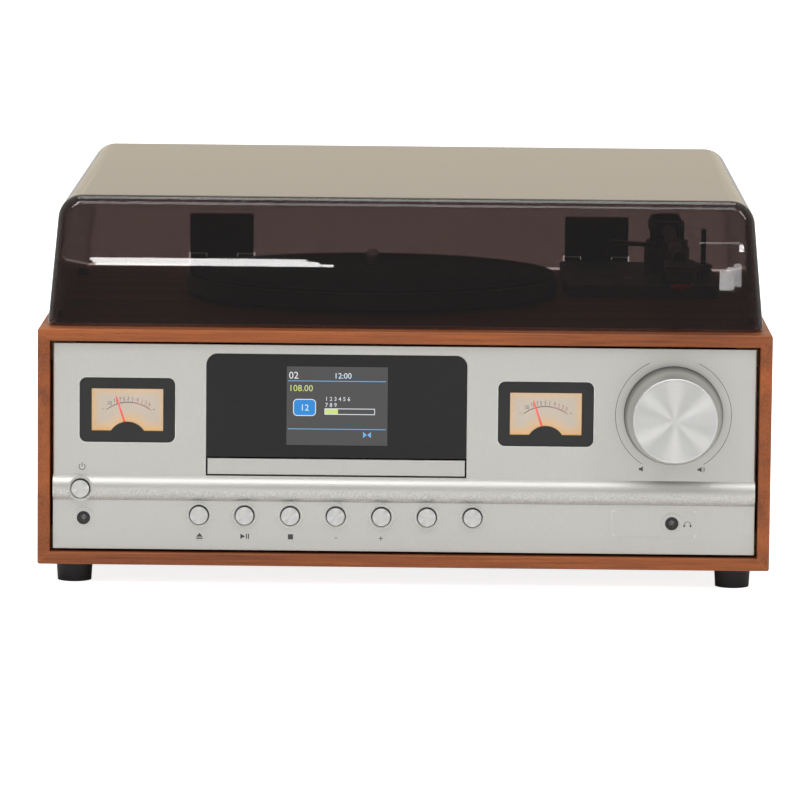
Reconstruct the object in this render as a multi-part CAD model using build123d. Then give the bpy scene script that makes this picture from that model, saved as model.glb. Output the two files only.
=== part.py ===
from build123d import *
import math
import os

# Stereo music centre: a wood-wrapped box with a metal-look fascia, a disc drawer, two level
# meters and a colour display, and a belt-drive record deck under a hinged smoked cover.
# Millimetres. +X is the right-hand side seen from the front, +Y goes to the back, +Z is up.
# The origin is the middle of the whole object's footprint, on the surface that it stands on.

# ---------------------------------------------------------------- cabinet
cabinet_width = 420.0
cabinet_height = 136.0
cabinet_depth = 355.0
board_thickness = 7.0
board_corner_radius = 1.2
board_edge_chamfer = 0.5
foot_height = 12.0
foot_top_radius = 10.5
foot_floor_radius = 9.75
foot_bore_depth = 7.0
foot_bore_gap = 0.4
foot_side_inset = 20.0
foot_end_inset = 22.5
block_side = 13.0
front_block_length = 8.0
rear_block_length = 16.0
vent_slot_width = 3.0
vent_slot_length = 46.0
vent_slot_pitch = 9.0
vent_slot_count = 7
overrun = 1.0

# ---------------------------------------------------------------- screws, one size for all
screw_head_radius = 3.2
screw_head_height = 2.0
screw_radius = 1.6
screw_hole_clearance = 0.1
screw_head_round = 0.9
screw_slot_length = 4.2
screw_slot_width = 0.8
screw_slot_depth = 0.7
screw_point_length = 1.4
screw_point_radius = 0.4

# ---------------------------------------------------------------- rear panel and its fittings
rear_panel_thickness = 3.0
rear_panel_recess = 3.0
panel_fit_gap = 0.3
phono_socket_radius = 4.15
phono_socket_length = 8.0
phono_socket_hole_radius = 1.65
phono_socket_spacing = 14.0
phono_flange_radius = 6.0
phono_flange_thickness = 1.5
socket_body_depth = 12.0
rear_socket_share = -0.31
rear_socket_height = 62.0
inlet_share = -0.40
inlet_side = 11.0
inlet_bore_radius = 3.2
inlet_pin_radius = 1.0
inlet_bore_depth = 9.0
inlet_flange_thickness = 1.5

# ---------------------------------------------------------------- telescopic aerial
aerial_share = 0.36
aerial_height = 118.0
aerial_base_radius = 7.0
aerial_base_length = 5.0
aerial_shank_radius = 3.0
aerial_head_radius = 4.2
aerial_axis_gap = 12.8
aerial_ear_thickness = 2.0
aerial_eye_thickness = 3.0
aerial_pin_radius = 1.2
aerial_tube_radius = 3.2
aerial_tube_length = 150.0
aerial_rod_radius = 2.1
aerial_rod_length = 140.0
aerial_tip_radius = 3.2
aerial_tip_length = 7.0
aerial_tip_round = 1.6
aerial_nut_radius = 7.0

# ---------------------------------------------------------------- speakers in the side boards
speaker_hole_radius = 34.0
speaker_flange_radius = 38.5
speaker_flange_thickness = 3.0
speaker_cone_depth = 16.0
speaker_basket_depth = 22.0
speaker_metal = 1.2
speaker_paper = 0.9
speaker_neck_radius = 14.0
speaker_magnet_radius = 23.0
speaker_magnet_height = 12.0
speaker_setback = 245.0
speaker_height = 80.0
grille_radius = 37.0
grille_thickness = 2.0
grille_slot_width = 2.4
grille_slot_pitch = 5.2
grille_rim = 6.0
grille_fit = 0.15
grille_shortest_slot = 9.6

# ---------------------------------------------------------------- fascia
fascia_recess = 4.0
fascia_thickness = 3.0
fascia_gap = 1.7
fascia_edge_chamfer = 0.6
boss_radius = 3.6
boss_length = 9.0
rib_height = 14.2
rib_depth = 3.5
rib_gap = 0.5
collar_height = 0.5
collar_width = 1.3
jack_ring_radius = 6.0
jack_ring_width = 0.8
frame_line_width = 0.8
frame_line_height = 0.3
headphone_frame_width = 49.3
headphone_frame_height = 16.9
headphone_frame_shift = 10.0
headphone_frame_radius = 2.0

# Stations along the fascia, as shares of the cabinet's width, from its middle
left_meter_share = -0.378
right_meter_share = 0.1928
centre_share = -0.0926
knob_share = 0.3667
power_share = -0.4412
aux_share = -0.4376
dial_drop = 38.2
row_drop = 8.1
jack_drop = 10.4

# ---------------------------------------------------------------- display
window_width = 149.5
window_height = 59.7
window_top_margin = 5.0
window_thickness = 2.0
window_corner_radius = 6.5
window_fit = 0.15
screen_width = 60.0
screen_height = 46.4
screen_gap = 0.5
module_width = 70.0
module_height = 50.0
module_thickness = 4.0

# ---------------------------------------------------------------- level meters
meter_width = 54.8
meter_height = 37.4
meter_corner_radius = 4.0
meter_fit = 0.15
meter_set_in = 0.3
meter_flange = 3.0
meter_flange_thickness = 1.5
meter_front_thickness = 2.0
meter_window_width = 41.0
meter_window_height = 24.4
meter_bump_radius = 11.3
meter_bump_height = 5.2
meter_cavity_margin = 1.8
meter_lens_thickness = 1.0
meter_depth = 9.0
dial_thickness = 1.0
movement_radius = 10.0
movement_depth = 12.0
needle_pivot_drop = 2.0
needle_length = 22.5
needle_width = 0.7
needle_thickness = 0.4
needle_tail = 2.4
needle_clearance = 0.7
needle_hub_radius = 2.0
needle_hub_thickness = 1.4
needle_pin_radius = 0.6
needle_dial_gap = 1.4
needle_rest_lean = 18.7

# ---------------------------------------------------------------- buttons and their board
button_radius = 5.5
button_fit = 0.3
button_height = 2.4
button_chamfer = 0.5
button_pitch = 26.17
button_travel = 0.8
button_flange = 1.4
button_flange_thickness = 1.2
button_stem_radius = 2.0
switch_gap = 0.15
switch_plunger_radius = 1.75
switch_plunger_length = 2.0
switch_side = 6.2
switch_depth = 3.6
board_gap = 14.0
circuit_board_thickness = 1.6
control_board_edge = 0.8
control_board_low = 16.0
control_board_top_gap = 2.2
control_tower_width = 56.0
control_tower_margin = 20.0
board_boss_radius = 2.6
board_boss_shares = (-0.92, -0.36, 0.2, 0.9)

# ---------------------------------------------------------------- front sockets
jack_barrel_radius = 3.75
jack_fit = 0.15
jack_bore_radius = 1.8
jack_bore_depth = 15.0
jack_body_side = 11.0

# ---------------------------------------------------------------- volume knob and encoder
knob_base_radius = 28.5
knob_face_radius = 24.3
knob_depth = 26.0
knob_edge_radius = 1.2
knob_wall = 3.5
knob_face_thickness = 4.0
knob_boss_radius = 6.5
knob_press_travel = 0.8
knob_clear = 0.35
shaft_radius = 3.0
shaft_fit = 0.05
shaft_flat_depth = 1.4
shaft_flat_length = 9.0
shaft_tip_gap = 1.2
bushing_radius = 3.6
bushing_reach = 4.0
bushing_fit = 0.1
encoder_width = 14.0
encoder_height = 13.0

# ---------------------------------------------------------------- disc drawer
slot_height = 11.0
drawer_front_gap = 0.9
drawer_front_thickness = 3.0
tray_side_gap = 4.0
tray_thickness = 6.0
tray_length = 155.0
tray_top_gap = 1.0
disc_recess_radius = 60.5
disc_recess_depth = 1.8
disc_recess_margin = 5.5
tray_slot_width = 44.0
tray_slot_lead = 17.0
tray_travel = 122.0
guide_gap = 0.3
chassis_drop = 1.65
chassis_wall = 2.5
chassis_floor = 2.0
chassis_set_back = 17.0
chassis_length = 172.0
chassis_guide_width = 3.0
chassis_guide_height = 2.0
chassis_head_room = 9.0
chassis_leg_radius = 4.5
bridge_width = 34.0
bridge_thickness = 2.5
clamp_boss_radius = 15.0
clamp_boss_height = 2.5
gear_module = 1.0
gear_teeth = 16
gear_tooth_tip = 1.0
gear_tooth_root = 1.25
gear_tooth_sink = 0.6
rack_spare_teeth = 2
gear_backlash = 0.45
gear_thickness = 2.6
gear_hub_radius = 4.0
gear_pin_radius = 1.5
gear_setback = 9.5
rack_width = 3.5
rack_depth = 3.2
tooth_slope = 20.0
hub_platform_radius = 13.0
hub_cone_radius = 7.3
hub_cone_top_radius = 5.8
hub_height = 4.0
hub_cone_height = 2.2
hub_sink = 0.3
hub_pin_radius = 1.0
running_fit = 0.05
disc_motor_radius = 11.0
sled_width = 34.0
sled_length = 20.0
sled_height = 3.4
sled_start = 24.0
sled_travel = 34.0
sled_rod_radius = 1.2
sled_rod_inset = 3.8
sled_post_width = 4.8
sled_post_length = 2.4
lens_radius = 3.0
lens_height = 1.6

# ---------------------------------------------------------------- main circuit board
main_board_width = 130.0
main_board_length = 130.0
main_board_share = 0.285
main_board_setback = 60.0
spacer_height = 8.0
spacer_radius = 3.5
spacer_inset = 7.0
heatsink_width = 50.0
heatsink_height = 26.0
heatsink_thickness = 3.0
heatsink_fin_length = 12.0
heatsink_fin_thickness = 1.5
heatsink_fin_count = 6
capacitor_radius = 7.0
capacitor_height = 22.0
capacitor_pitch = 21.0
capacitor_count = 3

# ---------------------------------------------------------------- record deck
platter_share = -0.0512
platter_setback = 196.0
platter_radius = 112.0
platter_height = 10.6
platter_gap = 2.1
platter_wall = 3.0
platter_plate = 3.0
platter_rim_radius = 1.0
platter_hub_radius = 12.0
belt_rim_inset = 42.0
belt_rim_wall = 3.0
mat_thickness = 2.0
mat_inset = 2.0
record_thickness = 2.0
spindle_radius = 3.55
spindle_shaft_radius = 4.0
spindle_height = 13.0
spindle_tip = 1.5
bearing_flange_radius = 9.0
bearing_flange_thickness = 1.4
bearing_radius = 6.5
bearing_fit = 0.1
bearing_depth = 24.0
pulley_radius = 6.0
pulley_height = 5.0
pulley_lip = 1.0
pulley_lip_height = 0.8
pulley_gap = 12.0
pulley_angle = 118.0
belt_rise = 2.1
belt_gap = 0.3
belt_thickness = 0.9
belt_height = 3.4
motor_radius = 17.5
motor_height = 24.0
motor_shaft_radius = 1.5
motor_boss_radius = 4.0
motor_hole_clearance = 1.0

# ---------------------------------------------------------------- tonearm and its controls
arm_pivot_share = 0.381
arm_pivot_back = 79.5
arm_axis_height = 34.0
arm_length = 205.0
arm_tube_radius = 4.0
arm_block_width = 14.0
arm_block_length = 18.0
arm_block_height = 10.0
arm_axle_radius = 1.5
counterweight_radius = 10.5
counterweight_length = 20.0
counterweight_gap = 8.0
counterweight_stem_radius = 3.0
head_width = 18.0
head_length = 44.0
head_thickness = 2.6
head_overlap = 8.0
head_corner_radius = 2.4
cartridge_width = 14.0
cartridge_length = 19.0
cartridge_height = 7.6
cartridge_lead = 4.75
stylus_width = 12.0
stylus_length = 15.0
stylus_height = 3.2
stylus_lead = 3.75
stylus_nib_radius = 1.2
stylus_point_radius = 0.2
stylus_record_gap = 0.3
gimbal_radius = 13.0
gimbal_plate = 4.0
gimbal_ear_thickness = 3.0
gimbal_ear_length = 12.0
gimbal_side_gap = 0.4
gimbal_under_gap = 1.6
gimbal_clearance = 0.3
pivot_pin_radius = 3.0
pivot_pin_height = 3.6
tower_radius = 14.0
pod_height = 7.5
pod_side_gap = 21.0
pod_platter_gap = 7.5
pod_left_gap = 4.5
pod_front_reach = 2.0
pod_back_inset = 19.0
pod_corner_radius = 4.0
rest_distance = 72.0
rest_width = 13.0
rest_length = 6.0
rest_gap = 0.3
rest_prong_width = 2.6
rest_prong_height = 5.0
lift_distance = 42.0
lift_rod_radius = 2.5
lift_bar_width = 5.0
lift_bar_height = 2.4
lift_gap = 0.4
lift_bar_start = 214.0
lift_bar_stop = 277.0
cue_lever_share = 0.43
cue_lever_radius = 3.2
cue_lever_length = 25.0
cue_lever_width = 3.0
cue_blade_thickness = 3.8
cue_lever_offset = 40.0
cue_lever_lean = 10.0
cue_ear_thickness = 2.2
cue_ear_gap = 0.3
cue_pin_radius = 1.2
speed_switch_setback = 9.0
speed_switch_reach = 26.0
speed_knob_width = 8.0
speed_knob_length = 5.0
speed_knob_height = 3.4
speed_slot_depth = 3.0
speed_stem_width = 2.4
speed_switch_step = 5.0
speed_switch_gap = 0.3

# ---------------------------------------------------------------- smoked dust cover
cover_wall = 2.6
cover_gap = 2.0
cover_side_inset = 4.7
cover_front_inset = 12.5
cover_back_inset = 3.5
cover_front_height = 72.6
cover_rise = 4.0
cover_side_draft = 6.5
cover_front_draft = 6.5
cover_side_top_radius = 14.0
cover_end_radius = 8.0
cover_pad_radius = 3.0
cover_pad_lift = 0.1
cover_pad_side_gap = 0.2
cover_pad_end_inset = 60.0
hinge_share = 0.282
hinge_width = 40.0
hinge_leaf_thickness = 8.0
hinge_leaf_top = 34.5
hinge_leaf_round = 1.2
hinge_knuckle_radius = 3.4
hinge_pin_radius = 1.5
hinge_axis_height = 5.4
hinge_end_knuckle = 10.0
hinge_knuckle_gap = 0.4
hinge_plate_thickness = 1.8
hinge_plate_reach = 12.0
hinge_notch_gap = 1.0
hinge_screw_spread = 12.0

# ---------------------------------------------------------------- planes and levels worked out once
knob_reach = knob_depth - fascia_recess
aerial_reach = aerial_axis_gap + aerial_head_radius - rear_panel_recess
front = knob_reach - (knob_reach + cabinet_depth + aerial_reach) / 2
back = front + cabinet_depth
half_width = cabinet_width / 2
inner_half = half_width - board_thickness
floor_top = foot_height + board_thickness
deck = foot_height + cabinet_height
ceiling = deck - board_thickness
screw_length = foot_height - foot_bore_depth + board_thickness
screw_hole = screw_radius + screw_hole_clearance

fascia_half = inner_half - fascia_gap
fascia_low = floor_top + fascia_gap
fascia_high = ceiling - fascia_gap
panel = front + fascia_recess
panel_back = panel + fascia_thickness
board_front = panel_back + board_gap
rear_face = back - rear_panel_recess
rear_inside = rear_face - rear_panel_thickness

window_x = centre_share * cabinet_width
window_high = fascia_high - window_top_margin
window_low = window_high - window_height
window_mid = (window_high + window_low) / 2
slot_low = window_low - slot_height
rib_high = slot_low - rib_gap
rib_low = rib_high - rib_height
rib_mid = (rib_high + rib_low) / 2
dial_z = fascia_high - dial_drop
row_z = rib_low - row_drop
jack_z = rib_low - jack_drop
knob_x = knob_share * cabinet_width
power_x = power_share * cabinet_width
aux_x = aux_share * cabinet_width
meter_places = {"left": left_meter_share * cabinet_width, "right": right_meter_share * cabinet_width}
button_hole_radius = button_radius + button_fit
collar_radius = button_hole_radius + collar_width

row_names = ["eject", "play", "stop", "tune_down", "tune_up", "menu", "source"]
button_places = {"power": (power_x, rib_mid, rib_depth)}
for order, row_name in enumerate(row_names):
    row_x = window_x + (order - (len(row_names) - 1) / 2) * button_pitch
    button_places[row_name] = (row_x, row_z, 0.0)

platter_x = platter_share * cabinet_width
platter_y = front + platter_setback
platter_low = deck + platter_gap
platter_top = platter_low + platter_height
mat_top = platter_top + mat_thickness
belt_rim_radius = platter_radius - belt_rim_inset
pulley_distance = belt_rim_radius + pulley_gap + pulley_radius
motor_x = platter_x + pulley_distance * math.cos(math.radians(pulley_angle))
motor_y = platter_y + pulley_distance * math.sin(math.radians(pulley_angle))
belt_low = platter_low + belt_rise
arm_x = arm_pivot_share * cabinet_width
arm_y = platter_y + arm_pivot_back
arm_z = deck + arm_axis_height
pod_top = deck + pod_height
lift_x = arm_x
lift_y = arm_y - lift_distance
hinge_y = back - cover_back_inset - cover_wall / 2
hinge_z = deck + hinge_axis_height
aerial_x = aerial_share * cabinet_width
speaker_y = front + speaker_setback
speaker_z = speaker_height
main_board_x = main_board_share * cabinet_width
main_board_y = front + main_board_setback + main_board_length / 2
phono_x = rear_socket_share * cabinet_width
rear_socket_z = rear_socket_height
phono_heights = (rear_socket_z - phono_socket_spacing / 2, rear_socket_z + phono_socket_spacing / 2)
phono_seat = rear_face + phono_flange_thickness
inlet_x = inlet_share * cabinet_width
tray_high = window_low - tray_top_gap
tray_low = tray_high - tray_thickness
disc_y = panel_back + disc_recess_margin + disc_recess_radius
needle_pivot_z = dial_z - meter_window_height / 2 - needle_pivot_drop
switch_tip = board_front - switch_depth - switch_plunger_length
tray_half = window_width / 2 - tray_side_gap
gear_pitch = math.pi * gear_module
rack_line = window_x - tray_half + chassis_guide_width + 2 * guide_gap + rack_width + gear_tooth_root
gear_x = rack_line + gear_module * gear_teeth / 2
chassis_top = slot_low - chassis_drop
chassis_span = (panel_back + chassis_set_back, panel_back + chassis_set_back + chassis_length)
gear_y = chassis_span[0] + gear_setback
chassis_leg_places = (chassis_span[0] + chassis_leg_radius, chassis_span[1] - chassis_leg_radius)
hub_low = tray_high - disc_recess_depth - hub_sink - hub_cone_height - hub_height
sled_rod_z = chassis_top + hub_sink + sled_height / 2
sled_rod_side = sled_width / 2 - sled_rod_inset
sled_rod_places = (window_x - sled_rod_side, window_x + sled_rod_side)
sled_reach = sled_length / 2 + sled_post_length
sled_rod_span = (disc_y + sled_start - sled_reach, disc_y + sled_start + sled_travel + sled_reach)
gimbal_low = arm_z - arm_block_height / 2 - gimbal_under_gap - gimbal_plate
stylus_y = arm_y - arm_length
cue_x = cue_lever_share * cabinet_width
cue_y = arm_y - cue_lever_offset
cue_z = pod_top + cue_lever_radius + cue_ear_gap
speed_x = arm_x - speed_switch_reach
speed_y = platter_y - pod_front_reach + speed_switch_setback


# ---------------------------------------------------------------- building blocks
def slab(x, y, z):
    """Box between two corners, each direction given as a (low, high) pair."""
    middle = Pos((x[0] + x[1]) / 2, (y[0] + y[1]) / 2, (z[0] + z[1]) / 2)
    return middle * Box(x[1] - x[0], y[1] - y[0], z[1] - z[0])


def upright(x, y, z, radius):
    """Cylinder along Z between the two heights in z."""
    return Pos(x, y, (z[0] + z[1]) / 2) * Cylinder(radius, z[1] - z[0])


def rod_y(x, y, z, radius):
    """Cylinder along Y between the two places in y."""
    return Pos(x, (y[0] + y[1]) / 2, z) * Rot(90, 0, 0) * Cylinder(radius, y[1] - y[0])


def rod_x(x, y, z, radius):
    """Cylinder along X between the two places in x."""
    return Pos((x[0] + x[1]) / 2, y, z) * Rot(0, 90, 0) * Cylinder(radius, x[1] - x[0])


def along_y(sketch, y):
    """A sketch of (x, z) drawn out along Y between the two places in y."""
    return Pos(0, y[1], 0) * extrude(Plane.XZ * sketch, amount=y[1] - y[0])


def along_x(sketch, x):
    """A sketch of (y, z) drawn out along X between the two places in x."""
    return Pos(x[0], 0, 0) * extrude(Plane.YZ * sketch, amount=x[1] - x[0])


def along_z(sketch, z):
    """A sketch of (x, y) drawn out along Z between the two heights in z."""
    return Pos(0, 0, z[0]) * extrude(sketch, amount=z[1] - z[0])


def around(middle, width):
    """Span of this width about its middle."""
    return (middle - width / 2, middle + width / 2)


def past(span):
    """The span run out a little past both ends, for a cut that leaves no skin."""
    return (span[0] - overrun, span[1] + overrun)


def mirrored_pair(value):
    """The place and its mirror image, left one first."""
    return (-value, value)


def panel_cut(width, height, radius, x, z):
    """Rounded rectangle of the fascia, at x and z, drawn out right through it."""
    outline = Pos(x, z) * RectangleRounded(width, height, radius)
    return along_y(outline, past((panel - rib_depth, panel_back)))


# ---------------------------------------------------------------- cabinet
def cabinet_ring():
    """The four boards before they part at the mitres."""
    middle = Pos(0, foot_height + cabinet_height / 2)
    outer = middle * RectangleRounded(cabinet_width, cabinet_height, board_corner_radius)
    inner = middle * Rectangle(2 * inner_half, ceiling - floor_top)
    ring = along_y(outer - inner, (front, back))
    rims = ring.faces().sort_by(Axis.Y)[0].edges()
    return chamfer(rims, board_edge_chamfer)


def mitre_corners(outside, inside):
    """The mitre lines at the left and at the right, each as its outer and its inner end in (x, z)."""
    return [((sign * half_width, outside), (sign * inner_half, inside)) for sign in (-1, 1)]


def mitred(ring, start, stop):
    """One board: the part of the ring between two mitre lines."""
    corners = [*start, *reversed(stop)]
    return ring & along_y(make_face(Polyline(*corners, close=True)), past((front, back)))


def vent_slots(x, y, z, along):
    """A row of round-ended slots through a board, long side along X or Y, axis along Z."""
    slots = []
    for number in range(vent_slot_count):
        step = (number - (vent_slot_count - 1) / 2) * vent_slot_pitch
        slot = SlotOverall(vent_slot_length, vent_slot_width)
        place = Pos(x, y + step) if along == "x" else Pos(x + step, y) * Rot(0, 0, 90)
        slots.append(along_z(place * slot, z))
    return slots


def foot_places():
    """Middles of the four feet, seen from above."""
    ends = (front + foot_end_inset, back - foot_end_inset)
    return [(x, y) for y in ends for x in mirrored_pair(half_width - foot_side_inset)]


def make_cabinet():
    """Four mitred boards, glued into a box that is open at the front and the back."""
    ring = cabinet_ring()
    top_left, top_right = mitre_corners(deck, ceiling)
    low_left, low_right = mitre_corners(foot_height, floor_top)
    top = mitred(ring, top_left, top_right)
    bottom = mitred(ring, low_left, low_right)
    left = mitred(ring, low_left, top_left)
    right = mitred(ring, low_right, top_right)

    through = past((ceiling, deck))
    top -= upright(platter_x, platter_y, through, bearing_radius + bearing_fit)
    top -= upright(motor_x, motor_y, through, motor_boss_radius + motor_hole_clearance)
    top -= upright(lift_x, lift_y, through, lift_rod_radius + motor_hole_clearance)
    for x, y in hinge_screw_places():
        top -= upright(x, y, through, screw_hole)

    under = past((foot_height, floor_top))
    for x, y in foot_places():
        bottom -= upright(x, y, under, screw_hole)
    bottom -= vent_slots(window_x, (front + back) / 2, under, "x")
    bottom -= vent_slots(main_board_x, main_board_y, under, "y")

    grille_seat = half_width - grille_thickness
    for side in mirrored_pair(half_width):
        hole = rod_x(past(around(side, 2 * board_thickness)), speaker_y, speaker_z, speaker_hole_radius)
        outside = sorted((math.copysign(grille_seat, side), math.copysign(half_width + overrun, side)))
        hole += rod_x(outside, speaker_y, speaker_z, grille_radius + grille_fit)
        left -= hole
        right -= hole
    return {"top_board": top, "bottom_board": bottom, "left_board": left, "right_board": right}


def block_places():
    """Centres, in x and z, of the corner blocks."""
    x_place = inner_half - block_side / 2
    heights = (floor_top + block_side / 2, ceiling - block_side / 2)
    return [(x, z) for z in heights for x in mirrored_pair(x_place)]


def make_corner_blocks():
    """Battens glued in the corners: the fascia is screwed to the front ones, the back to the rear ones."""
    blocks = []
    front_span = (panel_back + boss_length, panel_back + boss_length + front_block_length)
    rear_span = (rear_inside - rear_block_length, rear_inside)
    reach = block_side / 2
    for x, z in block_places():
        for span in (front_span, rear_span):
            block = slab(around(x, 2 * reach), span, around(z, 2 * reach))
            blocks.append(block - rod_y(x, past(span), z, screw_hole))
    return Compound(blocks)


def make_feet():
    """Four moulded feet, each screwed up into the bottom board."""
    feet = []
    for x, y in foot_places():
        foot = Pos(x, y, foot_height / 2) * Cone(foot_floor_radius, foot_top_radius, foot_height)
        foot -= upright(x, y, (-overrun, foot_bore_depth), screw_head_radius + foot_bore_gap)
        foot -= upright(x, y, past((0, foot_height)), screw_hole)
        feet.append(foot)
    return Compound(feet)


def screw():
    """Pan-head screw, head underside at the origin, shank along -Z."""
    head = Pos(0, 0, screw_head_height / 2) * Cylinder(screw_head_radius, screw_head_height)
    head = fillet(head.edges().sort_by(Axis.Z)[-1], screw_head_round)
    for turn in (0, 90):
        slot = Box(screw_slot_length, screw_slot_width, 2 * screw_slot_depth)
        head -= Pos(0, 0, screw_head_height) * Rot(0, 0, turn) * slot
    straight = screw_length - screw_point_length
    shank = Pos(0, 0, -straight / 2) * Cylinder(screw_radius, straight)
    point = Pos(0, 0, -straight - screw_point_length / 2)
    return head + shank + point * Cone(screw_point_radius, screw_radius, screw_point_length)


def hinge_screw_places():
    """Middles of the screws that hold the two hinges to the top board."""
    places = []
    for x in mirrored_pair(hinge_share * cabinet_width):
        for side in mirrored_pair(hinge_screw_spread):
            places.append((x + side, hinge_y - hinge_plate_reach / 2 - hinge_knuckle_radius / 2))
    return places


def make_screws():
    """Every screw of the case, driven home in its seat."""
    seats = [Pos(x, y, foot_bore_depth) * Rot(180, 0, 0) for x, y in foot_places()]
    for x, z in block_places():
        seats.append(Pos(x, rear_face, z) * Rot(-90, 0, 0))
        seats.append(Pos(x, panel_back + boss_length + front_block_length, z) * Rot(-90, 0, 0))
    for x, y in hinge_screw_places():
        seats.append(Pos(x, y, deck + hinge_plate_thickness))
    return Compound([seat * screw() for seat in seats])


def make_rear_panel():
    """Hardboard back with its vent slots and the holes for the sockets, the aerial and the screws."""
    x_reach = inner_half - panel_fit_gap
    thick = (rear_inside, rear_face)
    sheet = slab((-x_reach, x_reach), thick, (floor_top + panel_fit_gap, ceiling - panel_fit_gap))
    through = past(thick)
    for x, z in block_places():
        sheet -= rod_y(x, through, z, screw_hole)
    for z in phono_heights:
        sheet -= rod_y(phono_x, through, z, phono_socket_radius + panel_fit_gap)
    reach = inlet_side / 2 + panel_fit_gap
    sheet -= slab(around(inlet_x, 2 * reach), through, around(rear_socket_z, 2 * reach))
    sheet -= rod_y(aerial_x, through, aerial_height, aerial_shank_radius + running_fit)
    for number in range(vent_slot_count):
        step = (number - (vent_slot_count - 1) / 2) * vent_slot_pitch
        vent = Rot(0, 0, 90) * SlotOverall(vent_slot_length, vent_slot_width)
        sheet -= along_y(Pos(main_board_x + step, rear_socket_z) * vent, through)
    return sheet


def make_rear_sockets():
    """Two phono sockets for the line output and the inlet for the mains adaptor."""
    sockets = []
    for z in phono_heights:
        body = rod_y(phono_x, (rear_inside - socket_body_depth, rear_inside), z, phono_flange_radius)
        body += rod_y(phono_x, (rear_face, phono_seat), z, phono_flange_radius)
        ring = (phono_seat, phono_seat + phono_socket_length)
        body += rod_y(phono_x, (rear_inside - overrun, ring[1]), z, phono_socket_radius)
        body -= rod_y(phono_x, (ring[0], ring[1] + overrun), z, phono_socket_hole_radius)
        sockets.append(body)
    reach = inlet_side / 2
    inlet = slab(around(inlet_x, 2 * reach), (rear_face - inlet_side, rear_face),
                 around(rear_socket_z, 2 * reach))
    rim = reach + inlet_flange_thickness
    inlet += slab(around(inlet_x, 2 * rim), (rear_face, rear_face + inlet_flange_thickness),
                  around(rear_socket_z, 2 * rim))
    mouth = rear_face + inlet_flange_thickness
    bore_bottom = mouth - inlet_bore_depth
    inlet -= rod_y(inlet_x, (bore_bottom, mouth + overrun), rear_socket_z, inlet_bore_radius)
    inlet += rod_y(inlet_x, (bore_bottom - overrun, rear_face), rear_socket_z, inlet_pin_radius)
    sockets.append(inlet)
    return Compound(sockets)


# ---------------------------------------------------------------- fascia and what shows in it
def fascia_section():
    """Upright sheet with the half-round rib along it, as (y, z)."""
    sheet = Pos((panel + panel_back) / 2, (fascia_low + fascia_high) / 2)
    sheet *= Rectangle(fascia_thickness, fascia_high - fascia_low)
    arc = ThreePointArc((panel, rib_low), (panel - rib_depth, rib_mid), (panel, rib_high))
    chord = Polyline((panel, rib_high), (panel + fascia_thickness / 2, rib_high),
                     (panel + fascia_thickness / 2, rib_low), (panel, rib_low))
    return sheet + make_face([arc, chord])


def window_outline(gap):
    """The display's outline in (x, z): round top corners, square lower ones."""
    width = window_width - 2 * gap
    low, high = window_low + gap, window_high - gap
    outline = Pos(window_x, (low + high) / 2) * Rectangle(width, high - low)
    return fillet(outline.vertices().group_by(Axis.Y)[-1], window_corner_radius)


def board_boss_places():
    """Where the control board is carried on bosses behind the fascia, as (x, z)."""
    span = fascia_half - 2 * block_side
    places = [(share * span, rib_mid) for share in board_boss_shares]
    tower_z = dial_z + control_tower_margin - board_boss_radius
    for side in mirrored_pair(control_tower_width / 2 - board_boss_radius):
        places.append((knob_x + side, tower_z))
    return places


def make_fascia():
    """Moulded front with its proud rib, its collars and every opening, on screw bosses."""
    body = along_x(fascia_section(), (-fascia_half, fascia_half))
    rims = body.faces().sort_by(Axis.X)[0].edges() + body.faces().sort_by(Axis.X)[-1].edges()
    long_rims = [rim for rim in rims if rim.center().Y < panel + fascia_gap and rim.length > 2 * rib_height]
    body = chamfer(long_rims, fascia_edge_chamfer)
    for x, z in block_places():
        body += rod_y(x, (panel_back, panel_back + boss_length), z, boss_radius)
        body -= rod_y(x, (panel_back, panel_back + boss_length + overrun), z, screw_hole)
    for x, z in board_boss_places():
        body += rod_y(x, (panel_back, board_front), z, board_boss_radius)
    for x, z, proud in button_places.values():
        body += rod_y(x, (panel - proud - collar_height, panel_back), z, collar_radius)
    for x in (aux_x, knob_x):
        ring = (panel - collar_height, panel + overrun)
        body += rod_y(x, ring, jack_z, jack_ring_radius)
        body -= rod_y(x, (ring[0] - overrun, panel), jack_z, jack_ring_radius - jack_ring_width)
    body += headphone_frame()

    through = past((panel - rib_depth, panel_back))
    for x in meter_places.values():
        body -= panel_cut(meter_width, meter_height, meter_corner_radius, x, dial_z)
    body -= along_y(window_outline(0), (panel - overrun, panel + window_thickness))
    body -= panel_cut(screen_width + 2 * screen_gap, screen_height + 2 * screen_gap, screen_gap,
                      window_x, window_mid)
    body -= slab(around(window_x, window_width), through, (slot_low, window_low))
    for x, z, proud in button_places.values():
        body -= rod_y(x, through, z, button_hole_radius)
    for x in (aux_x, knob_x):
        body -= rod_y(x, through, jack_z, jack_barrel_radius + jack_fit)
    body -= rod_y(knob_x, through, dial_z, bushing_radius + bushing_fit)
    return body


def headphone_frame():
    """Raised outline round the headphone socket."""
    middle = Pos(knob_x - headphone_frame_shift, jack_z)
    outer = middle * RectangleRounded(headphone_frame_width, headphone_frame_height, headphone_frame_radius)
    inner = middle * RectangleRounded(headphone_frame_width - 2 * frame_line_width,
                                      headphone_frame_height - 2 * frame_line_width,
                                      headphone_frame_radius - frame_line_width)
    return along_y(outer - inner, (panel - frame_line_height, panel + overrun))


def make_display():
    """Gloss window over the screen, and the screen module behind it."""
    window = along_y(window_outline(window_fit), (panel, panel + window_thickness))
    lens = slab(around(window_x, screen_width),
                (panel + window_thickness, panel_back),
                around(window_mid, screen_height))
    case = slab(around(window_x, module_width),
                (panel_back, panel_back + module_thickness),
                around(window_mid, module_height))
    return {"display_window": window, "display_module": lens + case}


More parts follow.
